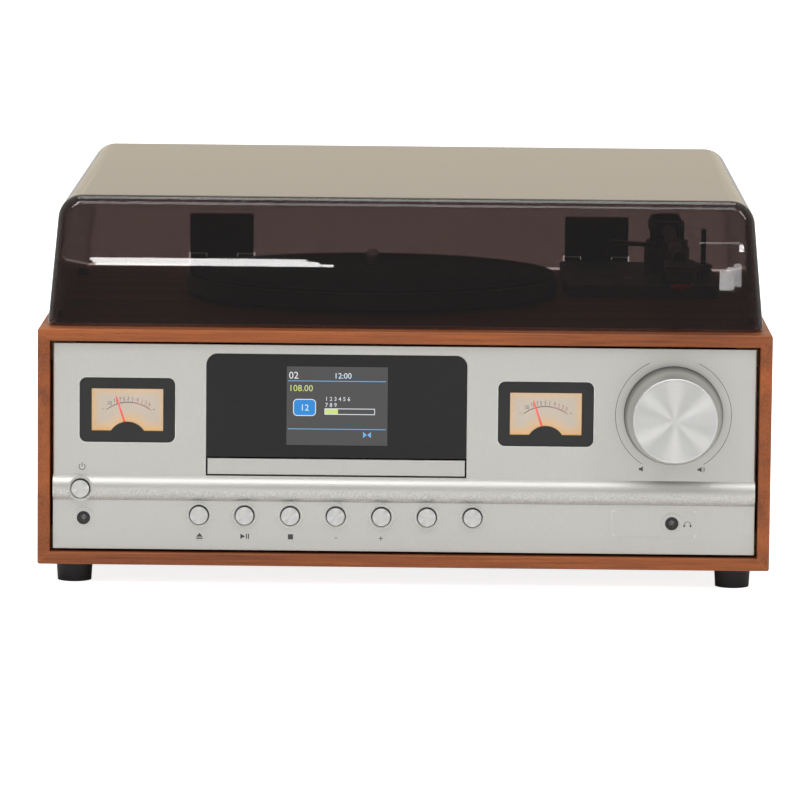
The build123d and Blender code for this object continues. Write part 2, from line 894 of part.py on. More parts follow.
def meter_window(x):
    """The meter's opening in (x, z): a rectangle less the round cover over the needle's pivot."""
    outline = Pos(x, dial_z) * Rectangle(meter_window_width, meter_window_height)
    drop = meter_window_height / 2 + meter_bump_radius - meter_bump_height
    return outline - Pos(x, dial_z - drop) * Circle(meter_bump_radius)


def make_meters():
    """Two meter cases with their dials, lenses and needles."""
    cases, lenses, dials = [], [], []
    face = panel + meter_set_in
    rear = panel_back + meter_depth
    cavity_reach = meter_window_width / 2 + meter_cavity_margin
    cavity_low = needle_pivot_z - needle_tail - needle_clearance
    cavity_high = dial_z + meter_window_height / 2 + meter_cavity_margin
    lens_front = face + meter_front_thickness
    for x in meter_places.values():
        shell = Pos(x, dial_z) * RectangleRounded(meter_width - 2 * meter_fit, meter_height - 2 * meter_fit,
                                                  meter_corner_radius - meter_fit)
        case = along_y(shell, (face, rear))
        flange = Pos(x, dial_z) * Rectangle(meter_width + 2 * meter_flange, meter_height + 2 * meter_flange)
        case += along_y(flange, (panel_back, panel_back + meter_flange_thickness))
        case -= slab(around(x, 2 * cavity_reach), (lens_front, rear + overrun), (cavity_low, cavity_high))
        case -= along_y(meter_window(x), past((face, lens_front)))
        cases.append(case)
        lens_reach = cavity_reach - meter_fit
        lenses.append(slab(around(x, 2 * lens_reach), (lens_front, lens_front + meter_lens_thickness),
                           (cavity_low + meter_fit, cavity_high - meter_fit)))
        dial_back = rear + dial_thickness
        dial = along_y(shell, (rear, dial_back))
        dial += rod_y(x, (dial_back, dial_back + movement_depth), dial_z, movement_radius)
        pin_tip = rear - needle_dial_gap - needle_hub_thickness
        dial += rod_y(x, (pin_tip, rear), needle_pivot_z, needle_pin_radius)
        dials.append(dial)
    return {"vu_cases": Compound(cases), "vu_lenses": Compound(lenses), "vu_dials": Compound(dials)}


def make_needle(x):
    """A pointer on its pivot, leaning to the left of upright."""
    back_face = panel_back + meter_depth - needle_dial_gap
    thick = (back_face - needle_hub_thickness, back_face)
    hub = rod_y(x, thick, needle_pivot_z, needle_hub_radius)
    blade_back = back_face - (needle_hub_thickness - needle_thickness) / 2
    tip_width = needle_width / 2
    blade = Polyline((-needle_width / 2, -needle_tail), (needle_width / 2, -needle_tail),
                     (tip_width / 2, needle_length), (-tip_width / 2, needle_length), close=True)
    turned = Pos(x, needle_pivot_z) * Rot(0, 0, needle_rest_lean) * make_face(blade)
    needle = hub + along_y(turned, (blade_back - needle_thickness, blade_back))
    return needle - rod_y(x, past(thick), needle_pivot_z, needle_pin_radius + running_fit)


# ---------------------------------------------------------------- buttons, their board, front sockets
def make_buttons():
    """The power button and the seven of the row, each on its own plunger."""
    buttons = {}
    flange_front = panel_back + button_fit
    for name, (x, z, proud) in button_places.items():
        face = panel - proud - collar_height - button_height
        cap = rod_y(x, (face, flange_front), z, button_radius)
        cap = chamfer(cap.edges().sort_by(Axis.Y)[0], button_chamfer)
        flange = (flange_front, flange_front + button_flange_thickness)
        cap += rod_y(x, flange, z, button_radius + button_flange)
        cap += rod_y(x, (flange_front, switch_tip - switch_gap - button_travel), z, button_stem_radius)
        buttons["button_" + name] = cap
    return buttons


def make_control_board():
    """The circuit board behind the fascia with its push switches soldered on."""
    reach = inner_half - block_side - control_board_edge
    span = (board_front, board_front + circuit_board_thickness)
    low = fascia_low + control_board_low
    board = slab((-reach, reach), span, (low, slot_low - control_board_top_gap))
    tower_top = dial_z + control_tower_margin
    board += slab(around(knob_x, control_tower_width), span, (low, tower_top))
    solids = [board]
    for x, z, proud in button_places.values():
        switch = slab(around(x, switch_side), (board_front - switch_depth, board_front),
                      around(z, switch_side))
        switch += rod_y(x, (switch_tip, board_front - switch_depth), z, switch_plunger_radius)
        solids.append(switch)
    return Compound(solids)


def make_front_jacks():
    """Two 3.5 mm sockets behind the fascia."""
    jacks = []
    for x in (aux_x, knob_x):
        jack = slab(around(x, jack_body_side), (panel_back, board_front), around(jack_z, jack_body_side))
        jack += rod_y(x, (panel, panel_back + overrun), jack_z, jack_barrel_radius)
        jack -= rod_y(x, (panel - overrun, panel + jack_bore_depth), jack_z, jack_bore_radius)
        jacks.append(jack)
    return Compound(jacks)


def shaft_flat(radius, y):
    """What is cut off a round shaft, or left in a round bore, to key the knob."""
    level = dial_z + radius - shaft_flat_depth
    return slab(around(knob_x, 2 * radius), y, (level, dial_z + radius))


def make_knob_group():
    """Volume knob, the shaft that it slides on, and the encoder that holds the shaft."""
    body = slab(around(knob_x, encoder_width), (panel_back, board_front),
                around(dial_z, encoder_height))
    bush_tip = panel - bushing_reach
    body += rod_y(knob_x, (bush_tip, panel_back + overrun), dial_z, bushing_radius)
    shaft_end = board_front - circuit_board_thickness
    body -= rod_y(knob_x, (bush_tip - overrun, shaft_end + shaft_fit), dial_z, shaft_radius + shaft_fit)

    knob_face = panel - knob_depth
    shaft_tip = knob_face + knob_face_thickness + shaft_tip_gap + knob_press_travel
    shaft = rod_y(knob_x, (shaft_tip, shaft_end), dial_z, shaft_radius)
    shaft -= shaft_flat(shaft_radius, (shaft_tip - overrun, shaft_tip + shaft_flat_length))

    knob_back = panel - knob_press_travel - knob_clear
    length = knob_back - knob_face
    knob = Pos(knob_x, knob_face + length / 2, dial_z) * Rot(90, 0, 0)
    knob *= Cone(knob_base_radius, knob_face_radius, length)
    knob = fillet(knob.edges().sort_by(Axis.Y)[0], knob_edge_radius)
    hollow = (knob_face + knob_face_thickness, knob_back + overrun)
    knob -= rod_y(knob_x, hollow, dial_z, knob_face_radius - knob_wall)
    boss_back = bush_tip - knob_press_travel - knob_clear
    boss = rod_y(knob_x, (knob_face + knob_face_thickness / 2, boss_back), dial_z, knob_boss_radius)
    bore_front = shaft_tip - shaft_tip_gap - knob_press_travel
    bore = rod_y(knob_x, (bore_front, boss_back + overrun), dial_z, shaft_radius + shaft_fit)
    key_back = shaft_tip + shaft_flat_length - knob_press_travel - knob_clear
    bore -= shaft_flat(shaft_radius + shaft_fit, (bore_front - overrun, key_back))
    return {"encoder_body": body, "encoder_shaft": shaft, "volume_knob": knob + boss - bore}


# ---------------------------------------------------------------- disc drawer
def tooth_outline():
    """One straight-sided gear tooth pointing to +X, its pitch line at x = 0."""
    half = (gear_pitch - gear_backlash) / 4
    lean = math.tan(math.radians(tooth_slope))
    wide, narrow = half + gear_tooth_root * lean, half - gear_tooth_tip * lean
    sunk = -gear_tooth_root - gear_tooth_sink
    corners = [(sunk, -wide), (-gear_tooth_root, -wide), (gear_tooth_tip, -narrow)]
    mirrored = [(x, -y) for x, y in reversed(corners)]
    return make_face(Polyline(*corners, *mirrored, close=True))


def rack_teeth():
    """The teeth along the drawer's rack, as (x, y)."""
    count = int((tray_travel + gear_pitch) / gear_pitch) + rack_spare_teeth
    places = [gear_y + number * gear_pitch for number in range(-rack_spare_teeth, count)]
    return [Pos(rack_line, y) * tooth_outline() for y in places]


def make_tray():
    """Disc drawer with its recess, its rails and its rack, and the front that clips to it."""
    reach = tray_half
    span = (panel_back, panel_back + tray_length)
    tray = slab(around(window_x, 2 * reach), span, (tray_low, tray_high))
    recess = (tray_high - disc_recess_depth, tray_high + overrun)
    tray -= upright(window_x, disc_y, recess, disc_recess_radius)
    opening = slab(around(window_x, tray_slot_width),
                   (disc_y - tray_slot_lead, span[1] + overrun), past((tray_low, tray_high)))
    tray -= opening
    rack_z = (tray_low - rack_depth, tray_low)
    strip = slab((rack_line - gear_tooth_root - rack_width, rack_line - gear_tooth_root),
                 (gear_y - 3 * gear_pitch, span[1]), rack_z)
    tray += strip
    for tooth in rack_teeth():
        tray += along_z(tooth, rack_z)
    reach = window_width / 2 - drawer_front_gap
    plate = slab(around(window_x, 2 * reach), (panel, panel + drawer_front_thickness),
                 (slot_low + drawer_front_gap, window_low - drawer_front_gap))
    plate = chamfer(plate.faces().sort_by(Axis.Y)[0].edges(), fascia_edge_chamfer / 2)
    return {"disc_tray": tray, "tray_front": plate}


def make_tray_gear():
    """Pinion on a pin of the chassis, a tooth gap facing the rack."""
    pitch_radius = gear_module * gear_teeth / 2
    blank = Circle(pitch_radius - gear_tooth_root)
    for number in range(gear_teeth):
        turn = 180 + (number + 0.5) * 360 / gear_teeth
        blank += Rot(0, 0, turn) * Pos(pitch_radius, 0) * tooth_outline()
    low = tray_low - guide_gap - gear_thickness
    gear = along_z(Pos(gear_x, gear_y) * blank, (low, low + gear_thickness))
    gear += upright(gear_x, gear_y, (chassis_top + guide_gap, low), gear_hub_radius)
    bore = past((chassis_top, low + gear_thickness))
    return gear - upright(gear_x, gear_y, bore, gear_pin_radius + running_fit)


def make_chassis():
    """Frame that guides the drawer and carries the disc drive, standing on four legs."""
    inner = tray_half + guide_gap
    outer = inner + chassis_wall
    wall_top = tray_high + chassis_head_room
    floor = (chassis_top - chassis_floor, chassis_top)
    chassis = slab(around(window_x, 2 * outer), chassis_span, floor)
    guides = ((tray_low - guide_gap - chassis_guide_height, tray_low - guide_gap),
              (tray_high + guide_gap, tray_high + guide_gap + chassis_guide_height))
    for sign in (-1, 1):
        wall = sorted((window_x + sign * inner, window_x + sign * outer))
        chassis += slab(wall, chassis_span, (chassis_top - chassis_floor, wall_top))
        ledge = sorted((window_x + sign * (inner - chassis_guide_width), window_x + sign * outer))
        for level in guides:
            chassis += slab(ledge, chassis_span, level)
        for y in chassis_leg_places:
            x = window_x + sign * (outer - chassis_leg_radius)
            chassis += upright(x, y, (floor_top, chassis_top), chassis_leg_radius)
    bridge = around(disc_y, bridge_width)
    chassis += slab(around(window_x, 2 * outer), bridge, (wall_top - bridge_thickness, wall_top))
    boss_low = wall_top - bridge_thickness - clamp_boss_height
    chassis += upright(window_x, disc_y, (boss_low, wall_top), clamp_boss_radius)
    chassis += upright(window_x, disc_y, (chassis_top, hub_low - guide_gap), disc_motor_radius)
    chassis += upright(window_x, disc_y, (chassis_top, hub_low + hub_height), hub_pin_radius)
    chassis += upright(gear_x, gear_y, (chassis_top, tray_low - guide_gap), gear_pin_radius)
    for x in sled_rod_places:
        for y in sled_rod_span:
            chassis += slab(around(x, sled_post_width), around(y, sled_post_length),
                            (chassis_top, sled_rod_z + sled_rod_radius))
        chassis += rod_y(x, sled_rod_span, sled_rod_z, sled_rod_radius)
    return chassis


def make_disc_hub():
    """Turntable for the disc, below the drawer's floor while the drawer moves."""
    hub = upright(window_x, disc_y, (hub_low, hub_low + hub_height), hub_platform_radius)
    hub += Pos(window_x, disc_y, hub_low + hub_height + hub_cone_height / 2) * Cone(
        hub_cone_radius, hub_cone_top_radius, hub_cone_height)
    socket = (hub_low - overrun, hub_low + hub_height + running_fit)
    return hub - upright(window_x, disc_y, socket, hub_pin_radius + running_fit)


def make_sled():
    """Laser carriage on its two rods, its lens looking up through the drawer's opening."""
    y = disc_y + sled_start
    low = sled_rod_z - sled_height / 2
    sled = slab(around(window_x, sled_width), around(y, sled_length),
                (low, low + sled_height))
    sled += upright(window_x, y, (low, low + sled_height + lens_height), lens_radius)
    for x in sled_rod_places:
        sled -= rod_y(x, around(y, 2 * sled_length), sled_rod_z, sled_rod_radius + running_fit)
    return sled


# ---------------------------------------------------------------- speakers and main board
def speaker_parts():
    """Frame, cone and grille about +Z, z = 0 at the board's inner face and +Z outwards."""
    rim = speaker_hole_radius - speaker_metal
    frame = upright(0, 0, (-speaker_flange_thickness, 0), speaker_flange_radius)
    frame -= upright(0, 0, past((-speaker_flange_thickness, 0)), rim)
    deep = -speaker_flange_thickness - speaker_basket_depth
    basket = Pos(0, 0, (deep - speaker_flange_thickness) / 2)
    frame += basket * Cone(speaker_neck_radius, rim + 2 * speaker_metal, speaker_basket_depth)
    frame -= basket * Cone(speaker_neck_radius - speaker_metal, rim + speaker_metal, speaker_basket_depth)
    frame += upright(0, 0, (deep - speaker_magnet_height, deep), speaker_magnet_radius)
    cone_middle = Pos(0, 0, -speaker_cone_depth / 2)
    cone = cone_middle * Cone(speaker_neck_radius - speaker_metal, rim - running_fit, speaker_cone_depth)
    cone -= cone_middle * Pos(0, 0, speaker_paper) * Cone(
        speaker_neck_radius - speaker_metal - speaker_paper, rim - speaker_paper, speaker_cone_depth)
    face = (board_thickness - grille_thickness, board_thickness)
    grille = upright(0, 0, face, grille_radius)
    open_radius = grille_radius - grille_rim
    steps = int(open_radius / grille_slot_pitch)
    for number in range(-steps, steps + 1):
        offset = number * grille_slot_pitch
        length = 2 * math.sqrt(open_radius ** 2 - offset ** 2)
        if length > grille_shortest_slot:
            grille -= along_z(Pos(offset, 0) * Rot(0, 0, 90) * SlotOverall(length, grille_slot_width),
                              past(face))
    return frame, cone, grille


def make_speakers():
    """A driver and its grille in each side board."""
    frame, cone, grille = speaker_parts()
    left = Pos(-inner_half, speaker_y, speaker_z) * Rot(0, -90, 0)
    right = Pos(inner_half, speaker_y, speaker_z) * Rot(0, 90, 0)
    return {"speaker_drivers": Compound([place * half for place in (left, right) for half in (frame, cone)]),
            "speaker_grilles": Compound([left * grille, right * grille])}


def make_main_board():
    """Power and amplifier board on spacers, with its heat sink and smoothing capacitors."""
    x_reach, y_reach = main_board_width / 2, main_board_length / 2
    low = floor_top + spacer_height
    top = low + circuit_board_thickness
    plan = (around(main_board_x, main_board_width), around(main_board_y, main_board_length))
    solids = [slab(*plan, (low, top))]
    for x in (main_board_x - x_reach + spacer_inset, main_board_x + x_reach - spacer_inset):
        for y in (main_board_y - y_reach + spacer_inset, main_board_y + y_reach - spacer_inset):
            solids.append(upright(x, y, (floor_top, low), spacer_radius))
    sink_y = main_board_y + y_reach / 2
    sink = slab(around(main_board_x, heatsink_width),
                (sink_y, sink_y + heatsink_thickness), (top, top + heatsink_height))
    for number in range(heatsink_fin_count):
        x = main_board_x - heatsink_width / 2 + (number + 0.5) * heatsink_width / heatsink_fin_count
        sink += slab(around(x, heatsink_fin_thickness),
                     (sink_y + heatsink_thickness, sink_y + heatsink_thickness + heatsink_fin_length),
                     (top, top + heatsink_height))
    solids.append(sink)
    for number in range(capacitor_count):
        x = main_board_x + (number - (capacitor_count - 1) / 2) * capacitor_pitch
        solids.append(upright(x, main_board_y - y_reach / 2, (top, top + capacitor_height), capacitor_radius))
    return Compound(solids)


# ---------------------------------------------------------------- platter and its drive
def make_platter():
    """Platter with its belt rim, its mat, and the spindle that carries both."""
    rim = upright(platter_x, platter_y, (platter_low, platter_top), platter_radius)
    rim = fillet(rim.edges(), platter_rim_radius)
    inside = (platter_low - overrun, platter_top - platter_plate)
    rim -= upright(platter_x, platter_y, inside, platter_radius - platter_wall)
    under_rim = (belt_low, platter_top - platter_plate)
    rim += upright(platter_x, platter_y, under_rim, belt_rim_radius)
    rim -= upright(platter_x, platter_y, (belt_low - overrun, under_rim[1]), belt_rim_radius - belt_rim_wall)
    rim += upright(platter_x, platter_y, under_rim, platter_hub_radius)
    rim -= upright(platter_x, platter_y, past((belt_low, platter_top)), spindle_shaft_radius + running_fit)
    mat = upright(platter_x, platter_y, (platter_top, mat_top), platter_radius - mat_inset)
    mat -= upright(platter_x, platter_y, past((platter_top, mat_top)), spindle_shaft_radius + running_fit)
    spindle = upright(platter_x, platter_y, (deck, mat_top + spindle_height), spindle_radius)
    spindle = fillet(spindle.edges().sort_by(Axis.Z)[-1], spindle_tip)
    shaft = (deck - bearing_depth + guide_gap, mat_top)
    spindle += upright(platter_x, platter_y, shaft, spindle_shaft_radius)
    return {"platter": rim, "platter_mat": mat, "spindle": spindle}


def make_bearing():
    """Bush in the top board that the spindle turns in, closed below."""
    bush = upright(platter_x, platter_y, (deck, deck + bearing_flange_thickness), bearing_flange_radius)
    closed_end = deck - bearing_depth - bearing_flange_thickness
    bush += upright(platter_x, platter_y, (closed_end, deck), bearing_radius)
    bore = (deck - bearing_depth, deck + bearing_flange_thickness + overrun)
    return bush - upright(platter_x, platter_y, bore, spindle_shaft_radius + running_fit)


def make_drive():
    """Motor under the deck, its pulley, and the belt round pulley and platter."""
    can = upright(motor_x, motor_y, (ceiling - motor_height, ceiling), motor_radius)
    can += upright(motor_x, motor_y, (ceiling, deck), motor_boss_radius)
    bore_low = ceiling - motor_height / 2
    can -= upright(motor_x, motor_y, (bore_low, deck + overrun), motor_shaft_radius + running_fit)
    belt_top = belt_low + belt_height
    pulley_low = belt_low - pulley_lip_height
    pulley = upright(motor_x, motor_y, (pulley_low, pulley_low + pulley_height), pulley_radius)
    lip = (pulley_low, pulley_low + pulley_lip_height)
    pulley += upright(motor_x, motor_y, lip, pulley_radius + pulley_lip)
    pulley += upright(motor_x, motor_y, (bore_low + guide_gap, pulley_low), motor_shaft_radius)

    def loop(grow):
        """Outline that runs round both wheels, a little outside them."""
        big = Pos(platter_x, platter_y) * Circle(belt_rim_radius + belt_gap + grow)
        small = Pos(motor_x, motor_y) * Circle(pulley_radius + belt_gap + grow)
        return make_hull((big + small).edges())

    belt = along_z(loop(belt_thickness) - loop(0), (belt_low + belt_gap, belt_top))
    return {"drive_motor": can, "motor_pulley": pulley, "drive_belt": belt}


# ---------------------------------------------------------------- tonearm
def sector(centre_x, centre_y, inner, outer, start, stop):
    """Part of a ring between two angles, in degrees from +X."""
    ring = Circle(outer) - Circle(inner)
    corners = [(0, 0)]
    for angle in (start, (start + stop) / 2, stop):
        turn = math.radians(angle)
        corners.append((2 * outer * math.cos(turn), 2 * outer * math.sin(turn)))
    return Pos(centre_x, centre_y) * (ring & make_face(Polyline(*corners, close=True)))


def make_tonearm_base():
    """Pod that carries the arm tower, the lift, the cue lever and the speed switch."""
    pod_front = platter_y - pod_front_reach
    pod_back = back - pod_back_inset
    pod_right = half_width - pod_side_gap
    pod_left = platter_x + platter_radius + pod_left_gap
    plan = Pos((pod_left + pod_right) / 2, (pod_front + pod_back) / 2)
    plan *= RectangleRounded(pod_right - pod_left, pod_back - pod_front, pod_corner_radius)
    plan -= Pos(platter_x, platter_y) * Circle(platter_radius + pod_platter_gap)
    pod = along_z(plan, (deck, pod_top))
    pod = chamfer(pod.faces().sort_by(Axis.Z)[-1].edges(), fascia_edge_chamfer)
    tower_top = gimbal_low - gimbal_clearance
    pod += upright(arm_x, arm_y, (pod_top, tower_top), tower_radius)
    pod += upright(arm_x, arm_y, (pod_top, tower_top + pivot_pin_height), pivot_pin_radius)
    pod -= upright(lift_x, lift_y, past((deck, pod_top)), lift_rod_radius + running_fit)

    rest_y = arm_y - rest_distance
    saddle = arm_z - arm_tube_radius - rest_gap
    right = arm_x + arm_tube_radius + rest_gap
    left = right + rest_prong_width - rest_width
    lip = around(rest_y, rest_length)
    pod += slab((left, right + rest_prong_width), lip, (pod_top, saddle))
    pod += slab((right, right + rest_prong_width), lip, (pod_top, saddle + rest_prong_height))

    for side in mirrored_pair(cue_lever_width / 2 + cue_ear_gap + cue_ear_thickness / 2):
        reach = cue_ear_thickness / 2
        ear = (cue_x + side - reach, cue_x + side + reach)
        pod += slab(ear, around(cue_y, 2 * cue_lever_radius), (pod_top, cue_z))
        pod += rod_x(ear, cue_y, cue_z, cue_lever_radius)
    reach = cue_lever_width / 2 + cue_ear_gap + cue_ear_thickness
    pod += rod_x(around(cue_x, 2 * reach), cue_y, cue_z, cue_pin_radius)

    slot_length = 2 * speed_switch_step + speed_stem_width + 2 * speed_switch_gap
    slot_width = speed_stem_width + 2 * speed_switch_gap
    slot_bottom = pod_top - speed_slot_depth - speed_switch_gap
    pod -= slab(around(speed_x, slot_length), around(speed_y, slot_width), (slot_bottom, pod_top + overrun))
    return pod


def make_speed_switch():
    """Slider that picks the speed."""
    cap_low = pod_top + speed_switch_gap
    cap = slab(around(speed_x, speed_knob_length), around(speed_y, speed_knob_width),
               (cap_low, cap_low + speed_knob_height))
    cap = chamfer(cap.edges().group_by(Axis.Z)[-1], fascia_edge_chamfer)
    return cap + slab(around(speed_x, speed_stem_width),
                      around(speed_y, speed_stem_width),
                      (pod_top - speed_slot_depth, cap_low))


def make_gimbal():
    """Turning yoke on the tower's pin, with two ears for the arm's cross axle."""
    yoke = upright(arm_x, arm_y, (gimbal_low, gimbal_low + gimbal_plate), gimbal_radius)
    inner = arm_block_width / 2 + gimbal_side_gap
    axle = past(around(arm_x, 2 * (inner + gimbal_ear_thickness)))
    for sign in (-1, 1):
        ear = sorted((arm_x + sign * inner, arm_x + sign * (inner + gimbal_ear_thickness)))
        yoke += slab(ear, around(arm_y, gimbal_ear_length), (gimbal_low, arm_z))
        yoke += rod_x(ear, arm_y, arm_z, gimbal_ear_length / 2)
    yoke -= rod_x(axle, arm_y, arm_z, arm_axle_radius + running_fit)
    plate = (gimbal_low, gimbal_low + gimbal_plate)
    return yoke - upright(arm_x, arm_y, past(plate), pivot_pin_radius + running_fit)


def make_tonearm():
    """Gimbal, arm with its head and counterweight, cartridge and stylus."""
    block = slab(around(arm_x, arm_block_width),
                 around(arm_y, arm_block_length),
                 around(arm_z, arm_block_height))
    block = fillet(block.edges().filter_by(Axis.Y), fascia_edge_chamfer)
    reach = arm_block_width / 2 + gimbal_side_gap + gimbal_ear_thickness
    arm = block + rod_x(around(arm_x, 2 * reach), arm_y, arm_z, arm_axle_radius)
    head_back = stylus_y - cartridge_length / 2 + head_length
    arm += rod_y(arm_x, (head_back - head_overlap, arm_y - arm_block_length / 2), arm_z, arm_tube_radius)
    weight_front = arm_y + arm_block_length / 2 + counterweight_gap
    arm += rod_y(arm_x, (arm_y + arm_block_length / 2, weight_front), arm_z, counterweight_stem_radius)
    weight = rod_y(arm_x, (weight_front, weight_front + counterweight_length), arm_z, counterweight_radius)
    arm += chamfer(weight.edges(), fascia_edge_chamfer)
    head_low = arm_z - arm_tube_radius
    shell = slab(around(arm_x, head_width), (head_back - head_length, head_back),
                 (head_low, head_low + head_thickness))
    shell = fillet(shell.edges().filter_by(Axis.Z), head_corner_radius)
    grip = slab((arm_x, arm_x + head_width), (head_back - head_length + cartridge_length / 2,
                                            head_back - head_length + cartridge_length),
                (head_low + head_thickness / 2, head_low + head_thickness))
    arm += shell + grip

    body_low = head_low - cartridge_height
    body_front = stylus_y - cartridge_lead
    cartridge = slab(around(arm_x, cartridge_width), (body_front, body_front + cartridge_length),
                     (body_low, head_low))
    cartridge = chamfer(cartridge.edges().filter_by(Axis.Z), fascia_edge_chamfer)
    tip = mat_top + record_thickness + stylus_record_gap
    stylus_front = stylus_y - stylus_lead
    stylus = slab(around(arm_x, stylus_width), (stylus_front, stylus_front + stylus_length),
                  (body_low - stylus_height, body_low))
    stylus = chamfer(stylus.edges().group_by(Axis.Z)[0], stylus_height / 2)
    drop = body_low - stylus_height - tip
    stylus += Pos(arm_x, stylus_y, tip + drop / 2) * Cone(stylus_point_radius, stylus_nib_radius, drop)
    return {"tonearm": arm, "cartridge": cartridge, "stylus": stylus}


def make_arm_lifter():
    """Curved bar under the arm, on a rod that slides in the pod."""
    top = arm_z - arm_tube_radius - lift_gap
    inner, outer = lift_distance - lift_bar_width / 2, lift_distance + lift_bar_width / 2
    plan = sector(arm_x, arm_y, inner, outer, lift_bar_start, lift_bar_stop)
    bar = along_z(plan, (top - lift_bar_height, top))
    return bar + upright(lift_x, lift_y, (ceiling, top - lift_bar_height / 2), lift_rod_radius)


def make_cue_lever():
    """Lever that works the arm lift."""
    lever = rod_x(around(cue_x, cue_lever_width), cue_y, cue_z, cue_lever_radius)
    blade = SlotOverall(cue_lever_length + 2 * cue_lever_radius, cue_blade_thickness)
    placed = Pos(cue_y, cue_z) * Rot(0, 0, 90 + cue_lever_lean) * Pos(cue_lever_length / 2, 0) * blade
    lever += along_x(placed, around(cue_x, cue_lever_width))
    return lever - rod_x(around(cue_x, 2 * cue_lever_width), cue_y, cue_z,
                         cue_pin_radius + running_fit)


# ---------------------------------------------------------------- dust cover and hinges
def cover_form(inset):
    """The cover as a closed drafted box with rounded edges, all faces moved in by inset."""
    low = deck + cover_gap
    high = low + cover_front_height + cover_rise
    lean = high - low
    side_draft = cover_side_draft * lean / cover_front_height
    front_draft = cover_front_draft * lean / cover_front_height
    sheets = []
    for z, side, ahead in ((low, 0, 0), (high, side_draft, front_draft)):
        y_low, y_high = front + cover_front_inset + ahead + inset, back - cover_back_inset - inset
        x_reach = half_width - cover_side_inset - side - inset
        sheets.append(Pos(0, (y_low + y_high) / 2, z) * Rectangle(2 * x_reach, y_high - y_low))
    body = loft(sheets)
    y_front, y_back = front + cover_front_inset, back - cover_back_inset
    side_line = [(y_front - cover_wall, low - overrun),
                 (y_front - cover_wall, low + cover_front_height - inset - cover_slope(cover_wall)),
                 (y_back + cover_wall, high - inset + cover_slope(cover_wall)),
                 (y_back + cover_wall, low - overrun)]
    roof = Polyline(*side_line, close=True)
    body &= along_x(make_face(roof), (-half_width, half_width))
    tops = body.faces().sort_by(Axis.Z)[-1].edges()
    sides = [edge for edge in tops if abs(edge.center().X) > half_width / 2]
    body = fillet(sides, cover_side_top_radius - inset)
    for y in (y_front, y_back):
        reach = cover_front_draft + inset + overrun
        chain = [edge for edge in body.edges() if abs(edge.center().Y - y) < reach
                 and edge.center().Z > low + overrun and edge.bounding_box().size.Y < reach]
        body = fillet(chain, cover_end_radius - inset)
    return body


def cover_slope(length):
    """How far the roof rises over this length."""
    return length * cover_rise / (cabinet_depth - cover_front_inset - cover_back_inset)


def make_cover():
    """Smoked cover, drawn in towards its top, with a recess for each hinge leaf."""
    low = deck + cover_gap
    cover = cover_form(0)
    cover -= cover_form(cover_wall)
    for x in mirrored_pair(hinge_share * cabinet_width):
        reach = hinge_width / 2 + hinge_notch_gap
        cover -= slab(around(x, 2 * reach), around(hinge_y, 2 * cover_wall),
                      (low - overrun, hinge_z + hinge_knuckle_radius + hinge_notch_gap))
    pad_x = half_width - cover_side_inset - cover_pad_radius - cover_pad_side_gap
    for y in (front + cover_pad_end_inset, back - cover_pad_end_inset):
        for x in mirrored_pair(pad_x):
            cover += upright(x, y, (deck + cover_pad_lift, low + cover_gap), cover_pad_radius)
    return cover


def make_hinges():
    """Two plates on the top board with their pins, and the two leaves that turn on them."""
    bases, leaves = [], []
    axle = hinge_pin_radius + running_fit
    for x in mirrored_pair(hinge_share * cabinet_width):
        reach = hinge_width / 2
        inner = reach - hinge_end_knuckle
        plate = slab(around(x, 2 * reach), (hinge_y - hinge_plate_reach, hinge_y + hinge_knuckle_radius),
                     (deck, deck + hinge_plate_thickness))
        for side in (-1, 1):
            span = sorted((x + side * inner, x + side * reach))
            plate += rod_x(span, hinge_y, hinge_z, hinge_knuckle_radius)
            plate += slab(span, around(hinge_y, 2 * hinge_knuckle_radius), (deck, hinge_z))
            hole_x = x + side * hinge_screw_spread
            plate -= upright(hole_x, hinge_screw_places()[0][1], (deck - overrun, hinge_z), screw_hole)
        plate += rod_x(around(x, 2 * reach), hinge_y, hinge_z, hinge_pin_radius)
        bases.append(plate)
        wall_face = hinge_y - cover_wall / 2
        block_low = hinge_z + hinge_knuckle_radius + hinge_notch_gap
        leaf = slab(around(x, 2 * reach), (wall_face - hinge_leaf_thickness, wall_face),
                    (block_low, deck + hinge_leaf_top))
        leaf = fillet(leaf.edges().filter_by(Axis.Z).sort_by(Axis.Y)[:2], hinge_leaf_round)
        span = (x - inner + hinge_knuckle_gap, x + inner - hinge_knuckle_gap)
        leaf += rod_x(span, hinge_y, hinge_z, hinge_knuckle_radius)
        leaf += slab(span, (hinge_y - hinge_knuckle_radius, wall_face), (hinge_z, block_low + overrun))
        leaves.append(leaf - rod_x(around(x, 2 * reach), hinge_y, hinge_z, axle))
    return {"hinge_bases": Compound(bases), "hinge_leaves": Compound(leaves)}


